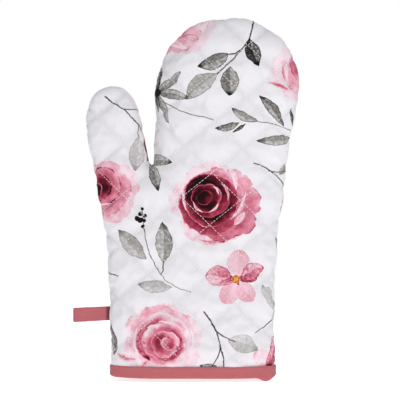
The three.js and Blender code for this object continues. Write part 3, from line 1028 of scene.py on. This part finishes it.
class Brush:
    """Paints motifs one after another, each on top of what is there."""

    def __init__(self, tree, place):
        self.tree = tree
        self.blotch = noise(tree, place, 7.0, 4.0)
        grain = noise(tree, place, 2.4, 3.0)
        self.grain = calc(tree, "MULTIPLY_ADD", grain, 1.3, -0.05)
        self.place = place

    def paint(self, group, inputs):
        """Adds one mark and keeps the place that the next one starts from."""
        outputs = put_group(self.tree, group, {"Place": self.place, **inputs})
        self.place = outputs["Next"]
        return outputs

    def stroke(self, before, base, tip, width, tone, bend=0.0, fade=0.0, power=1.0, crisp=1.0):
        a, b = motif_place(*base), motif_place(*tip)
        run = b - a
        length = np.linalg.norm(run)
        across = np.array((-run[1], run[0], 0)) / length
        inputs = {
            "Base": a, "Along": run / length**2, "Across": across, "half": width / 2,
            "bend": bend, "power": power, "tone": tone, "fade": fade, "crisp": crisp,
            "grain": self.grain, "before": before,
        }
        return self.paint(stroke_group(), inputs)["after"]

    def strokes(self, before, marks, **style):
        for mark in marks:
            before = self.stroke(before, *mark, **style)
        return before

    def straight(self, before, base, run, half, tone):
        inputs = {
            "Base": base, "Run": run, "Along": run / max(run @ run, 1e-6), "half": half,
            "tone": tone, "before": before,
        }
        return self.paint(line_group(), inputs)["after"]

    def stem(self, before, points, width, tone):
        """A bent line through the points, a quarter thinner at its end."""
        spots = [motif_place(*p) for p in points]
        for i, (a, b) in enumerate(zip(spots, spots[1:])):
            half = width * (1 - 0.25 * i / len(spots)) / 2 + 0.15
            before = self.straight(before, a, b - a, half, tone)
        return before

    def dots(self, before, marks, tone):
        for centre, radius in marks:
            before = self.straight(before, motif_place(*centre), np.zeros(3), radius + 0.2, tone)
        return before

    def rings(self, shade, cover, rings):
        for centre, radius, lobes, turn, dip, pale, dark, lit, swing, rim in rings:
            inputs = {
                "Centre": motif_place(*centre), "radius": radius, "lobes": lobes, "turn": turn,
                "dip": dip, "pale": pale, "dark": dark, "lit": math.radians(lit), "swing": swing,
                "rim": rim, "shade": shade, "cover": cover, "blotch": self.blotch,
            }
            outputs = self.paint(ring_group(), inputs)
            shade, cover = outputs["shade_after"], outputs["cover_after"]
        return shade, cover


ROSE_PIGMENT = [
    (0.0, (0.93, 0.83, 0.88)), (0.1, (0.9, 0.69, 0.77)), (0.2, (0.86, 0.49, 0.58)),
    (0.36, (0.73, 0.25, 0.345)), (0.55, (0.5, 0.07, 0.13)), (0.75, (0.22, 0.01, 0.03)),
    (0.92, (0.045, 0.002, 0.008)), (1.0, (0.012, 0.001, 0.003)),
]
INK_PIGMENT = [
    (0.0, (1.0, 1.0, 1.0)), (0.07, (0.78, 0.78, 0.775)), (0.22, (0.47, 0.47, 0.45)),
    (0.45, (0.19, 0.19, 0.18)), (0.7, (0.045, 0.044, 0.042)), (1.0, (0.006, 0.006, 0.006)),
]
INK_TINTS = [(0.4, (1.0, 0.95, 0.93)), (0.6, (0.98, 0.99, 0.94))]
PAPER_WHITE = (1, 1, 1, 1)
STAMEN_GOLD = (0.83, 0.42, 0.04, 1)


@lru_cache(maxsize=None)
def flower_print():
    """The printed cotton's colour at a place on the flat cloth in millimetres."""
    tree, at = new_group("flower_print", ["Place"], ["Colour"])
    waver = noise(tree, at["Place"], 5.0, 2.0, output=1)
    waver = vec(tree, "SUBTRACT", waver, (0.5, 0.5, 0.5))
    waver = vec(tree, "MULTIPLY", waver, (2.2, 2.2, 0.0))
    brush = Brush(tree, vec(tree, "ADD", at["Place"], waver))

    shade, cover = 0.0, 0.0
    for rings in (PALE_ROSE, SIDE_ROSE, THUMB_ROSE, PEONY, DARK_ROSE):
        shade, cover = brush.rings(shade, cover, rings)
    petal = brush.strokes(0.0, PETALS, power=0.62)
    petal = brush.strokes(petal, FOLDS, power=0.62, crisp=0.18)
    petal = brush.dots(petal, DARK_SPOTS, 0.62)
    shade = calc(tree, "MAXIMUM", shade, petal)
    cover = calc(tree, "MAXIMUM", cover, calc(tree, "MULTIPLY", petal, 14.0, clamp=True))
    marks = [(base, tip, width, HIGHLIGHT_TONE, bend) for base, tip, width, bend in HIGHLIGHTS]
    lift = brush.strokes(0.0, marks)
    shade = calc(tree, "SUBTRACT", shade, calc(tree, "MULTIPLY", lift, shade))
    speck = noise(tree, brush.place, 0.8, 2.0)
    speck = calc(tree, "MULTIPLY", calc(tree, "SUBTRACT", speck, 0.5), 0.16)
    shade = calc(tree, "MULTIPLY_ADD", speck, cover, shade)

    ink = brush.strokes(0.0, LEAVES)
    bud = [(BUD_CENTRE, *petal) for petal in BUD_PETALS]
    ink = brush.strokes(ink, bud, fade=0.55, power=0.8)
    ink = brush.dots(ink, [(BUD_CENTRE, BUD_RADIUS)], 0.95)
    for points, width in STEMS:
        ink = brush.stem(ink, points, width, 0.72)
    ink = brush.dots(ink, BERRIES, 1.0)
    gold = brush.dots(0.0, STAMENS, 0.9)

    rose = ramp(tree, shade, ROSE_PIGMENT)
    ground = (*colours().cotton, 1)
    colour = blend_colours(tree, cover, ground, rose)
    leaf = ramp(tree, ink, INK_PIGMENT)
    tint = ramp(tree, noise(tree, brush.place, 26.0), INK_TINTS)
    tinted = blend_colours(tree, calc(tree, "MULTIPLY", ink, 6.0, clamp=True), PAPER_WHITE, tint)
    leaf = blend_colours(tree, 1.0, leaf, tinted, "MULTIPLY")
    colour = blend_colours(tree, 1.0, colour, leaf, "MULTIPLY")
    colour = blend_colours(tree, gold, colour, STAMEN_GOLD)
    put(tree, "NodeGroupOutput", {"Colour": colour})
    return tree


# The back is cut from the same cloth turned over, moved along and down by so many millimetres.
PRINT_REPEAT = 330.0  # height of the print's repeat
PRINT_START = -15.0  # height at which a repeat starts
BACK_SHIFT = (2 * CUFF_X / MM - 22.7, -52.0, 0.0)
VALLEY_WIDTH = 2.4 * MM  # how far the shadow of a line of quilting reaches


@lru_cache(maxsize=None)
def printed_cotton(word):
    """White cotton with the flower print. The back is another cut from the same cloth."""
    material, tree = new_material(f"printed_cotton_{word}")
    place = cloth_place(tree)
    spot = place
    if word == "back":
        turned = vec(tree, "MULTIPLY", place, (-1.0, 1.0, 1.0))
        x, y, _ = split(tree, vec(tree, "ADD", turned, BACK_SHIFT))
        y = calc(tree, "WRAP", y, PRINT_START + PRINT_REPEAT, PRINT_START)
        spot = put(tree, "ShaderNodeCombineXYZ", {0: x, 1: y})
    colour = put_group(tree, flower_print(), {"Place": spot})["Colour"]
    cloud = noise(tree, place, 30.0)
    slub = slubs(tree, place, 1.1)
    threads = weave(tree, place, 0.45)
    shade = calc(tree, "MULTIPLY_ADD", cloud, 0.04, 0.96)
    shade = vary(tree, shade, slub, 0.06)
    shade = vary(tree, shade, threads, 0.04)
    # Painted shade along the lines of quilting.
    shade = darkened(tree, shade, 0.08)
    colour = dyed(tree, colour, shade)
    height = calc(tree, "MULTIPLY_ADD", slub, 0.6, threads)
    finish_cloth(tree, colour, height, 0.08 * MM, 0.85, 0.02)
    return material


# =============================== Panels ===============================


def flat_panel(side):
    """Points and triangles of a panel before it puffs up. side is -1 in front, 1 behind."""
    shape = panel_shape()
    return mirrored(shape.places, side), shape.faces if side < 0 else shape.faces[:, ::-1]


def closed_panel(name, side, material, inner_material):
    """The quilted panel as one closed pad: puffed cotton outside, smooth backing inside."""
    shape = panel_shape()
    outer = mirrored(puffed(shape, seed=11 if side < 0 else 29), side)
    base, faces = flat_panel(side)
    wall = sizes().wall
    inner = base - outward(base, faces) * wall
    inner[shape.seam] = inward_seam(shape, wall, side)
    inner[:, 2] = np.maximum(inner[:, 2], base[:, 2].min())
    count = len(outer)
    rim = boundary_loop(faces)
    walls = [(a, count + a, count + b, b) for a, b in zip(rim, np.roll(rim, -1))]
    verts = np.vstack((outer, inner))
    all_faces = [tuple(f) for f in faces] + [tuple(count + f[::-1]) for f in faces] + walls
    obj = new_object(name, verts, all_faces, material)
    obj.data.materials.append(inner_material)
    slots = np.zeros(len(all_faces), np.int32)
    slots[len(faces):] = 1
    obj.data.polygons.foreach_set("material_index", slots)
    set_attribute(obj.data, "cloth", np.tile(shape.cloth_coordinates(), (2, 1)))
    # Painted shade: darkest on the lines of quilting, where the creases fall in shadow, on the
    # cotton and the backing.
    away = off_quilting(shape.flat) * sizes().quilt_spacing
    set_attribute(obj.data, "shade", np.tile(np.exp(-((away / VALLEY_WIDTH) ** 2)), 2))
    round_off(obj)
    return obj


def inward_seam(shape, depth, side):
    """The seam moved in from the outline by a depth, in the plane of the side seam."""
    inner = offset_path(shape.flat[shape.seam], depth)
    y = np.full(len(inner), side * SEAM_HALF_GAP)
    return np.stack((inner[:, 0], y, inner[:, 1]), 1)


def boundary_loop(faces):
    """The points round the open edge of a triangle mesh, in the faces' own order."""
    edges = {(int(f[k]), int(f[(k + 1) % 3])) for f in faces for k in range(3)}
    after = {a: b for a, b in edges if (b, a) not in edges}
    start = min(after)
    loop = [start]
    while after[loop[-1]] != start:
        loop.append(after[loop[-1]])
    return np.array(loop)


class MITT_OT_quilted_panels(bpy.types.Operator):
    """Makes the printed, quilted front and back panels."""

    bl_idname = "mitt.quilted_panels"
    bl_label = "Quilted panels"

    def execute(self, context):
        inner = plain_cloth("batting_backing", tuple(colours().lining), 0.6)
        for side, word in ((-1, "front"), (1, "back")):
            panel = closed_panel(f"quilted_{word}", side, printed_cotton(word), inner)
            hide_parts(f"outer_shell_{word}", f"batting_{word}")
            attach(panel, "mitt")
        return {"FINISHED"}


# =============================== Lining ===============================


LINING_THICKNESS = 0.35 * MM


def lining_sheet(name, side, material):
    """One lining panel: a thin cloth that follows the inside of the batting with soft wrinkles."""
    shape = panel_shape()
    base, faces = flat_panel(side)
    normals = outward(base, faces)
    gap = sizes().wall + LINING_GAP
    places = base - normals * gap
    wrinkle = rough_noise(shape.flat, 22 * MM, 7 + side) * 0.35 * MM
    places -= normals * np.abs(wrinkle)[:, None]
    places[shape.seam] = inward_seam(shape, gap, side)
    places[:, 1] = side * np.maximum(side * places[:, 1], SEAM_HALF_GAP)
    places[:, 2] = np.maximum(places[:, 2], CUFF_EDGE + 0.6 * MM)
    obj = new_object(name, places, faces, material)
    set_attribute(obj.data, "cloth", shape.cloth_coordinates())
    solid = obj.modifiers.new("thickness", "SOLIDIFY")
    solid.thickness = LINING_THICKNESS
    solid.offset = 0
    apply_modifiers(obj)
    return obj


class MITT_OT_lining(bpy.types.Operator):
    """Makes the front and back lining."""

    bl_idname = "mitt.lining"
    bl_label = "Lining"

    def execute(self, context):
        material = plain_cloth("lining_cotton", tuple(colours().lining), 0.6)
        shape = panel_shape()
        for side, word in ((-1, "front"), (1, "back")):
            sheet = lining_sheet(f"lining_{word}_cloth", side, material)
            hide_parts(f"lining_{word}")
            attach(sheet, "mitt")
        return {"FINISHED"}


# =============================== Stitches ===============================


# One stitch is a thread through six rings: where they lie along it, how many thread radii above
# the cloth, and how much painted shade darkens them towards the needle holes.
STITCH_RINGS = np.array((-0.06, 0.06, 0.2, 0.8, 0.94, 1.06))
STITCH_HEIGHTS = np.array((-1.1, -0.1, 0.6, 0.6, -0.1, -1.1))
STITCH_SHADE = np.array((0.7, 0.5, 0.0, 0.0, 0.5, 0.7))
STITCH_SIDES = 6


def stitches(name, lines, material, pitch=None, seed=3):
    """One object with a row of stitches along each line of (places, normals)."""
    pitch = pitch or sizes().stitch_length
    radius = sizes().thread / 2
    rng = np.random.default_rng(seed)
    verts, faces = [], []
    ring_faces = band_faces(len(STITCH_RINGS), STITCH_SIDES, closed_columns=True)
    last = (len(STITCH_RINGS) - 1) * STITCH_SIDES
    caps = [tuple(range(STITCH_SIDES))[::-1], tuple(range(last, last + STITCH_SIDES))]
    turn = np.linspace(0, 2 * math.pi, STITCH_SIDES, endpoint=False)
    for places, normals in lines:
        lengths = run_lengths(places)
        for i in range(int(lengths[-1] / pitch)):
            start = (i + 0.15 + rng.uniform(-0.05, 0.05)) * pitch
            where = start + STITCH_RINGS * pitch * rng.uniform(0.68, 0.78)
            middle = along_line(lengths, places, where)
            up = unit(along_line(lengths, normals, where))
            across = np.cross(run_of(middle), up)
            middle = middle + up * (STITCH_HEIGHTS * radius)[:, None]
            ring = (
                middle[:, None]
                + across[:, None] * np.cos(turn)[None, :, None] * radius
                + up[:, None] * np.sin(turn)[None, :, None] * radius
            )
            base = len(verts) * len(STITCH_RINGS) * STITCH_SIDES
            verts.append(ring.reshape(-1, 3))
            faces += [tuple(base + k for k in f) for f in ring_faces + caps]
    obj = new_object(name, np.vstack(verts), faces, material)
    # Painted shade at each stitch's ends, where the thread goes into its holes.
    set_attribute(obj.data, "shade", np.tile(np.repeat(STITCH_SHADE, STITCH_SIDES), len(verts)))
    return obj


LINES_EACH_WAY = 12  # lines of quilting on each side of the crossing, more than fit on the mitt
LINE_REACH = 400  # how far each line is followed either way, in steps of a millimetre
SHORTEST_LINE = 7  # a line of quilting has at least so many points on the panel


def quilting_lines(panel, side):
    """The lines of quilting on a panel, as places and normals on its outer surface."""
    rising, falling, crossing = quilt_axes()
    tree = BVHTree.FromPolygons(
        [v.co for v in panel.data.vertices], [p.vertices for p in panel.data.polygons]
    )
    spacing, cuff = sizes().quilt_spacing, sizes().binding_height
    runs = [[]]
    for square in (rising, falling):
        along = np.array((square[1], -square[0]))
        for row in range(-LINES_EACH_WAY, LINES_EACH_WAY + 1):
            for step in np.arange(-LINE_REACH, LINE_REACH + 1) * MM:
                x, z = crossing + square * row * spacing + along * step
                hit, normal, _, _ = tree.ray_cast((x, side * 0.2, z), (0, -side, 0))
                if hit is not None and side * hit.y > 0.8 * MM and hit.z > cuff:
                    runs[-1].append((*hit, *normal))
                elif runs[-1]:
                    runs.append([])
            runs.append([])
    lines = [np.array(run) for run in runs if len(run) >= SHORTEST_LINE]
    return [(line[:, :3], line[:, 3:]) for line in lines]


class MITT_OT_quilting_stitches(bpy.types.Operator):
    """Sews the two families of quilting lines on both panels."""

    bl_idname = "mitt.quilting_stitches"
    bl_label = "Quilting stitches"

    def execute(self, context):
        thread = white_thread()
        for side, word in ((-1, "front"), (1, "back")):
            lines = quilting_lines(bpy.data.objects[f"quilted_{word}"], side)
            sewn = stitches(f"quilting_stitches_{word}", lines, thread, seed=5 + side)
            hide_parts(f"quilting_thread_{word}")
            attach(sewn, "mitt")
        return {"FINISHED"}


SIDE_SEAM_INSET = 0.9 * MM  # from the outline to the seam's own stitches


class MITT_OT_side_seam(bpy.types.Operator):
    """Sews the seam that joins the two panels all round the outline."""

    bl_idname = "mitt.side_seam"
    bl_label = "Side seam"

    def execute(self, context):
        path = offset_path(outline(), SIDE_SEAM_INSET)
        path = path[path[:, 1] > 2 * MM]
        places = np.stack((path[:, 0], np.zeros(len(path)), path[:, 1]), 1)
        normals = np.tile((0.0, -1.0, 0.0), (len(path), 1))
        sewn = stitches("side_seam_stitches", [(places, normals)], white_thread())
        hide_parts("side_seam_thread")
        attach(sewn, "mitt")
        return {"FINISHED"}


# =============================== Cuff binding ===============================


@lru_cache(maxsize=None)
def cuff_loop():
    """The closed line round the cuff on the panels, as (x, y), and its outward normals."""
    shape = panel_shape()
    low = shape.flat[:, 1].min()
    row = np.flatnonzero(shape.flat[:, 1] < low + 0.01 * MM)
    row = row[np.argsort(shape.flat[row, 0])]
    front = shape.places[row][:, :2]
    back = front[::-1] * np.array((1, -1))
    loop = smooth_path(np.vstack((front, back[1:-1])), 1.5 * MM, closed=True)[:-1]
    for _ in range(6):
        loop = (np.roll(loop, 1, 0) + 2 * loop + np.roll(loop, -1, 0)) / 4
    return loop, right_of(unit(np.roll(loop, -1, 0) - np.roll(loop, 1, 0)))


def binding_inside():
    """How far out from the panel the tape's inner fold starts: a negative distance, inwards."""
    return -(sizes().wall + BINDING_ROOM)


def binding_profile():
    """The folded tape cut across, as distances out from the panel and heights.

    It runs down the outside, under the raw edge and up the inside, then back through the fold."""
    t, height = sizes().tape, sizes().binding_height
    inside = binding_inside()
    outer = [(t * 0.72, height), (t * 1.12, height - 0.3 * MM), (t * 1.2, height - 1.2 * MM)]
    outer += [(t * (1.2 + 0.1 * math.sin(k)), height - k * 1.35 * MM) for k in range(2, 7)]
    outer += [(t * 1.3, 2.4 * MM), (t * 1.1, 1.0 * MM), (t * 0.5, 0.25 * MM), (-t * 0.6, 0)]
    outer += [(inside * 0.6, 0), (inside - t * 0.2, 0.3 * MM), (inside - t * 0.9, 1.3 * MM)]
    outer += [(inside - t, 4 * MM), (inside - t, height - 2 * MM)]
    outer += [(inside - t * 0.8, height - 0.5 * MM)]
    inner = [(inside - t * 0.2, height - 0.4 * MM), (inside, height - 1.2 * MM)]
    inner += [(inside, 2.4 * MM), (inside + t * 0.8, t), (-t * 0.8, t)]
    inner += [(0.1 * t, 2.0 * MM), (0.15 * t, height - 0.6 * MM)]
    return np.array(outer + inner)


def tape_strip(name, frames, profile, material, closed):
    """A profile of (out, up) swept along frames of (place, out, up, length along)."""
    rows, count = len(frames), len(profile)
    across = run_lengths(profile)
    verts, cloth = [], []
    for place, out, up, length in frames:
        verts.append(place + profile[:, :1] * out + profile[:, 1:] * up)
        cloth.append(np.column_stack((np.full(count, length), across, np.zeros(count))))
    faces = band_faces(rows, count, closed_rows=closed, closed_columns=True)
    if not closed:
        end = (rows - 1) * count
        faces += [tuple(range(count))[::-1], tuple(range(end, end + count))]
    obj = new_object(name, np.vstack(verts), faces, material)
    set_attribute(obj.data, "cloth", np.vstack(cloth))
    return obj


def tape_row(frames, out, up, way=1):
    """A line of places beside the tape, and its normals, which point outwards for way 1."""
    places = np.array([p + o * out + u * up for p, o, u, _ in frames])
    return places, np.array([o * way for _, o, _, _ in frames])


TAPE_END_X = 60.7 * MM  # where the binding's turned-in end shows, from the middle of the cuff
TAPE_END_WIDTH = 4.6 * MM
TAPE_LIFT = 3.0 * MM  # how far the fold hangs short of the floor, except at the turned-in end
TAPE_RISE = 1.0 * MM  # how far the tape's upper edge lies above its even height
CORNER_LIFT = 2.2 * MM  # how much higher the fold is at the two side seams


def binding_frames():
    """Frames round the cuff, with the tape's small waves, rounded corners and turned-in end."""
    loop, normals = cuff_loop()
    half = (CUFF_HIGH.x - CUFF_LOW.x) / 2
    reach = np.abs(loop[:, 0] - CUFF_X).max() + sizes().tape * 1.3
    centred = loop - np.array((CUFF_X, 0))
    centred[:, 0] *= half / reach
    around = np.column_stack((loop, np.zeros(len(loop))))
    wave = rough_noise(around, 45 * MM, 17) * 0.22 * MM
    ripple = rough_noise(around, 12 * MM, 19) * 0.12 * MM
    side = np.clip((np.abs(centred[:, 0]) - half + 6 * MM) / (6 * MM), 0, 1)
    corner = side**3 * CORNER_LIFT
    fold = np.exp(-(((centred[:, 0] - TAPE_END_X) / TAPE_END_WIDTH) ** 2)) * (centred[:, 1] < 0)
    lifts = np.maximum(corner + TAPE_LIFT + wave - fold * TAPE_LIFT, 0)
    height = sizes().binding_height
    stretch = (height + TAPE_RISE + wave * 0.6 - lifts) / height
    bulge = ripple + fold * 0.35 * MM
    frames = []
    for i, length in enumerate(run_lengths(centred)):
        out = np.array((*normals[i], 0))
        place = np.array((centred[i, 0] + CUFF_X, centred[i, 1], lifts[i])) + out * bulge[i]
        frames.append((place, out, np.array((0, 0, stretch[i])), length))
    return frames


class MITT_OT_cuff_binding(bpy.types.Operator):
    """Folds the cotton tape round the raw edge of the cuff and sews it on."""

    bl_idname = "mitt.cuff_binding"
    bl_label = "Cuff binding"

    def execute(self, context):
        size = sizes()
        frames = binding_frames()
        tape = tape_strip(
            "cuff_binding_tape", frames, binding_profile(), rose_tape(), closed=True
        )
        round_off(tape)
        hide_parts("cuff_binding")
        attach(tape, "mitt")
        row = size.binding_height - STITCH_INSET
        inside = binding_inside() - size.tape
        for word, out, way in (("outside", size.tape * 1.22, 1), ("inside", inside, -1)):
            line = tape_row(frames + frames[:1], out, row, way)
            sewn = stitches(f"binding_stitches_{word}", [line], rose_thread())
            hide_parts(f"binding_stitch_{word}")
            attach(sewn, "mitt")
        return {"FINISHED"}


# =============================== Hanging loop ===============================


LOOP_TAPE_WIDTH = 11.6 * MM
LOOP_TAPE_THICKNESS = 1.2 * MM  # both layers together
LOOP_DROOP = math.radians(3)


def loop_profile(width, thickness):
    """The doubled tape cut across: a rounded fold at the top, two edges side by side below."""
    half, t, gap = width / 2, thickness / 2, 0.05 * MM
    side = [(t * 0.55, half - 0.12 * MM), (t * 0.95, half - 0.6 * MM), (t, half - 2 * MM)]
    side += [(t * 1.02, 0), (t, -half + 2.4 * MM), (t * 0.8, -half + 1.8 * MM)]
    side += [(t, -half + 1.2 * MM), (t * 0.9, -half + 0.3 * MM), (t * 0.5, -half)]
    side += [(gap, -half + 0.3 * MM), (gap, 0), (gap, half - 1.0 * MM)]
    other = [(-out, up) for out, up in side[::-1]]
    return np.array([(0, half), *side, *other])


@lru_cache(maxsize=None)
def loop_frames():
    """Frames along the hanging loop, from inside the side seam, round the far end and back."""
    half_tape = LOOP_TAPE_THICKNESS / 2
    far = LOOP_LOW.x + half_tape
    half_gap = (LOOP_HIGH.y - LOOP_LOW.y) / 2 - half_tape
    root = HINGE.x
    reach = root - far
    side = [(root + 5.5 * MM, 0.7 * MM), (root + 2 * MM, 0.75 * MM)]
    side += [(root - 0.08 * reach, 0.9 * MM)]
    side += [(root - 0.3 * reach, half_gap * 0.5), (root - 0.6 * reach, half_gap * 0.86)]
    side += [(root - 0.84 * reach, half_gap), (root - 0.96 * reach, half_gap * 0.62)]
    other = [(x, -y) for x, y in side[::-1]]
    path = smooth_path([*side, (far, 0), *other], 0.8 * MM)
    ripple = rough_noise(path, 9 * MM, 23) * 0.16 * MM
    frames = []
    rows = zip(path, -right_of(run_of(path)), ripple, run_lengths(path))
    for (x, y), left, wave, length in rows:
        out = np.array((*left, 0.0))
        wave *= np.clip((root - x) / reach, 0, 1)
        height = HINGE.z - math.tan(LOOP_DROOP) * max(root - x, 0) + wave
        place = np.array((x, y, height)) + out * wave * 1.2
        frames.append((place, out, np.array((0, 0, 1.0)), length))
    return frames


class MITT_OT_hanging_loop(bpy.types.Operator):
    """Makes the hanging loop and its row of edge stitches."""

    bl_idname = "mitt.hanging_loop"
    bl_label = "Hanging loop"

    def execute(self, context):
        width = LOOP_TAPE_WIDTH
        profile = loop_profile(width, LOOP_TAPE_THICKNESS)
        frames = loop_frames()
        tape = tape_strip("hanging_loop_tape", frames, profile, rose_tape(), closed=False)
        # Painted shadow: the tape darkens where it goes into the side seam.
        in_seam = coordinates(tape.data)[:, 0] - HINGE.x + 2.2 * MM
        set_attribute(tape.data, "shade", np.clip(in_seam / (1.4 * MM), 0, 1) * 0.62)
        round_off(tape)
        row = -width / 2 + STITCH_INSET
        lines = [tape_row(frames, way * 0.52 * MM, row, way) for way in (-1, 1)]
        sewn = stitches("hanging_loop_stitches", lines, rose_thread(), pitch=2.6 * MM)
        for piece, node, finish in (
            (tape, "hanging_loop", "rose_tape"), (sewn, "loop_stitch", "rose_thread"),
        ):
            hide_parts(node)
            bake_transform(piece)
        return {"FINISHED"}


# =============================== Stage ===============================


def area_light(name, place, target, width, power):
    """A square lamp that faces the target."""
    light = bpy.data.lights.new(name, "AREA")
    light.shape = "SQUARE"
    light.size = width
    light.energy = power
    obj = bpy.data.objects.new(name, light)
    obj.location = place
    obj.rotation_euler = (Vector(target) - Vector(place)).to_track_quat("-Z", "Y").to_euler()
    bpy.context.scene.collection.objects.link(obj)


FLOOR_RADIUS = 1.5
FLOOR_GLOW = 0.69  # light that the floor gives off, so that it looks as pale as its surroundings
VIEW_WIDTH = 0.3324  # metres across the view at the mitt
VIEW_X, VIEW_Z = 0.0121, 0.1496  # middle of the view
CAMERA_LENS = 180
CAMERA_SENSOR = 36
SOFT_LIGHT = 0.25  # strength of the light from all round
LAMPS = (  # name, place, width in metres, power in watts
    ("key_light", (0.45, -1.0, 1.1), 0.8, 9),
    ("fill_light", (-1.0, -0.8, 0.5), 1.2, 2),
    ("rim_light", (0.3, 1.2, 0.9), 1.2, 4),
)


class MITT_OT_stage(bpy.types.Operator):
    """Sets up the pale floor, the soft light and the camera."""

    bl_idname = "mitt.stage"
    bl_label = "Stage"

    def execute(self, context):
        scene = context.scene
        turn = np.linspace(0, 2 * math.pi, 96, endpoint=False)
        rim = [(FLOOR_RADIUS * math.cos(a), FLOOR_RADIUS * math.sin(a), 0) for a in turn]
        floor_material, tree = new_material("pale_floor")
        place = put(tree, "ShaderNodeTexCoord", output="Object")
        cloud = noise(tree, place, 0.4)
        colour = blend_colours(tree, cloud, (0.9, 0.9, 0.9, 1), (0.93, 0.93, 0.93, 1))
        inputs = {
            "Base Color": colour, "Roughness": 0.9, "Emission Color": (1, 1, 1, 1),
            "Emission Strength": FLOOR_GLOW,
        }
        surface = put(tree, "ShaderNodeBsdfPrincipled", inputs)
        put(tree, "ShaderNodeOutputMaterial", {0: surface})
        floor = new_object("floor", rim, [tuple(range(len(rim)))], floor_material, smooth=False)
        middle = Vector((VIEW_X, 0, MITT_TOP / 2))
        for name, place, width, power in LAMPS:
            area_light(name, place, middle, width, power)
        world = bpy.data.worlds.new("studio")
        scene.world = world
        world.use_nodes = True
        tree = world.node_tree
        tree.nodes.clear()
        seen = put(tree, "ShaderNodeLightPath", output="Is Camera Ray")
        soft = put(tree, "ShaderNodeBackground", {0: (1, 1, 1, 1), 1: SOFT_LIGHT})
        white = put(tree, "ShaderNodeBackground", {0: (1, 1, 1, 1), 1: 1.0})
        mixed = put(tree, "ShaderNodeMixShader", {0: seen, 1: soft, 2: white})
        put(tree, "ShaderNodeOutputWorld", {0: mixed})
        scene.view_settings.view_transform = "Standard"
        camera = bpy.data.cameras.new("camera")
        camera.lens = CAMERA_LENS
        camera.sensor_width = CAMERA_SENSOR
        camera.clip_end = 20
        obj = bpy.data.objects.new("camera", camera)
        distance = VIEW_WIDTH * CAMERA_LENS / CAMERA_SENSOR
        obj.location = (VIEW_X, -distance, VIEW_Z)
        obj.rotation_euler = (math.pi / 2, 0, 0)
        scene.collection.objects.link(obj)
        scene.camera = obj
        return {"FINISHED"}


# =============================== Panel and registration ===============================


STEPS = (
    MITT_OT_stage, MITT_OT_quilted_panels, MITT_OT_lining, MITT_OT_quilting_stitches,
    MITT_OT_side_seam, MITT_OT_cuff_binding, MITT_OT_hanging_loop,
)


class MITT_PT_sidebar(bpy.types.Panel):
    """Lists the mitt's sizes, colours and making steps."""

    bl_idname = "MITT_PT_sidebar"
    bl_label = "Quilted oven mitt"
    bl_space_type = "VIEW_3D"
    bl_region_type = "UI"
    bl_category = "Mitt"

    def draw(self, context):
        for settings in (context.scene.mitt_sizes, context.scene.mitt_colours):
            box = self.layout.box()
            for name in settings.__annotations__:
                box.prop(settings, name)
        for step in STEPS:
            self.layout.operator(step.bl_idname)


CLASSES = (MittSizes, MittColours, *STEPS, MITT_PT_sidebar)


def register():
    for cls in CLASSES:
        bpy.utils.register_class(cls)
    bpy.types.Scene.mitt_sizes = bpy.props.PointerProperty(type=MittSizes)
    bpy.types.Scene.mitt_colours = bpy.props.PointerProperty(type=MittColours)


def unregister():
    del bpy.types.Scene.mitt_colours
    del bpy.types.Scene.mitt_sizes
    for cls in reversed(CLASSES):
        bpy.utils.unregister_class(cls)


def main():
    register()
    bpy.ops.mitt.stage()
    bpy.ops.mitt.quilted_panels()
    bpy.ops.mitt.lining()
    bpy.ops.mitt.quilting_stitches()
    bpy.ops.mitt.side_seam()
    bpy.ops.mitt.cuff_binding()
    bpy.ops.mitt.hanging_loop()


if __name__ == "__main__":
    main()
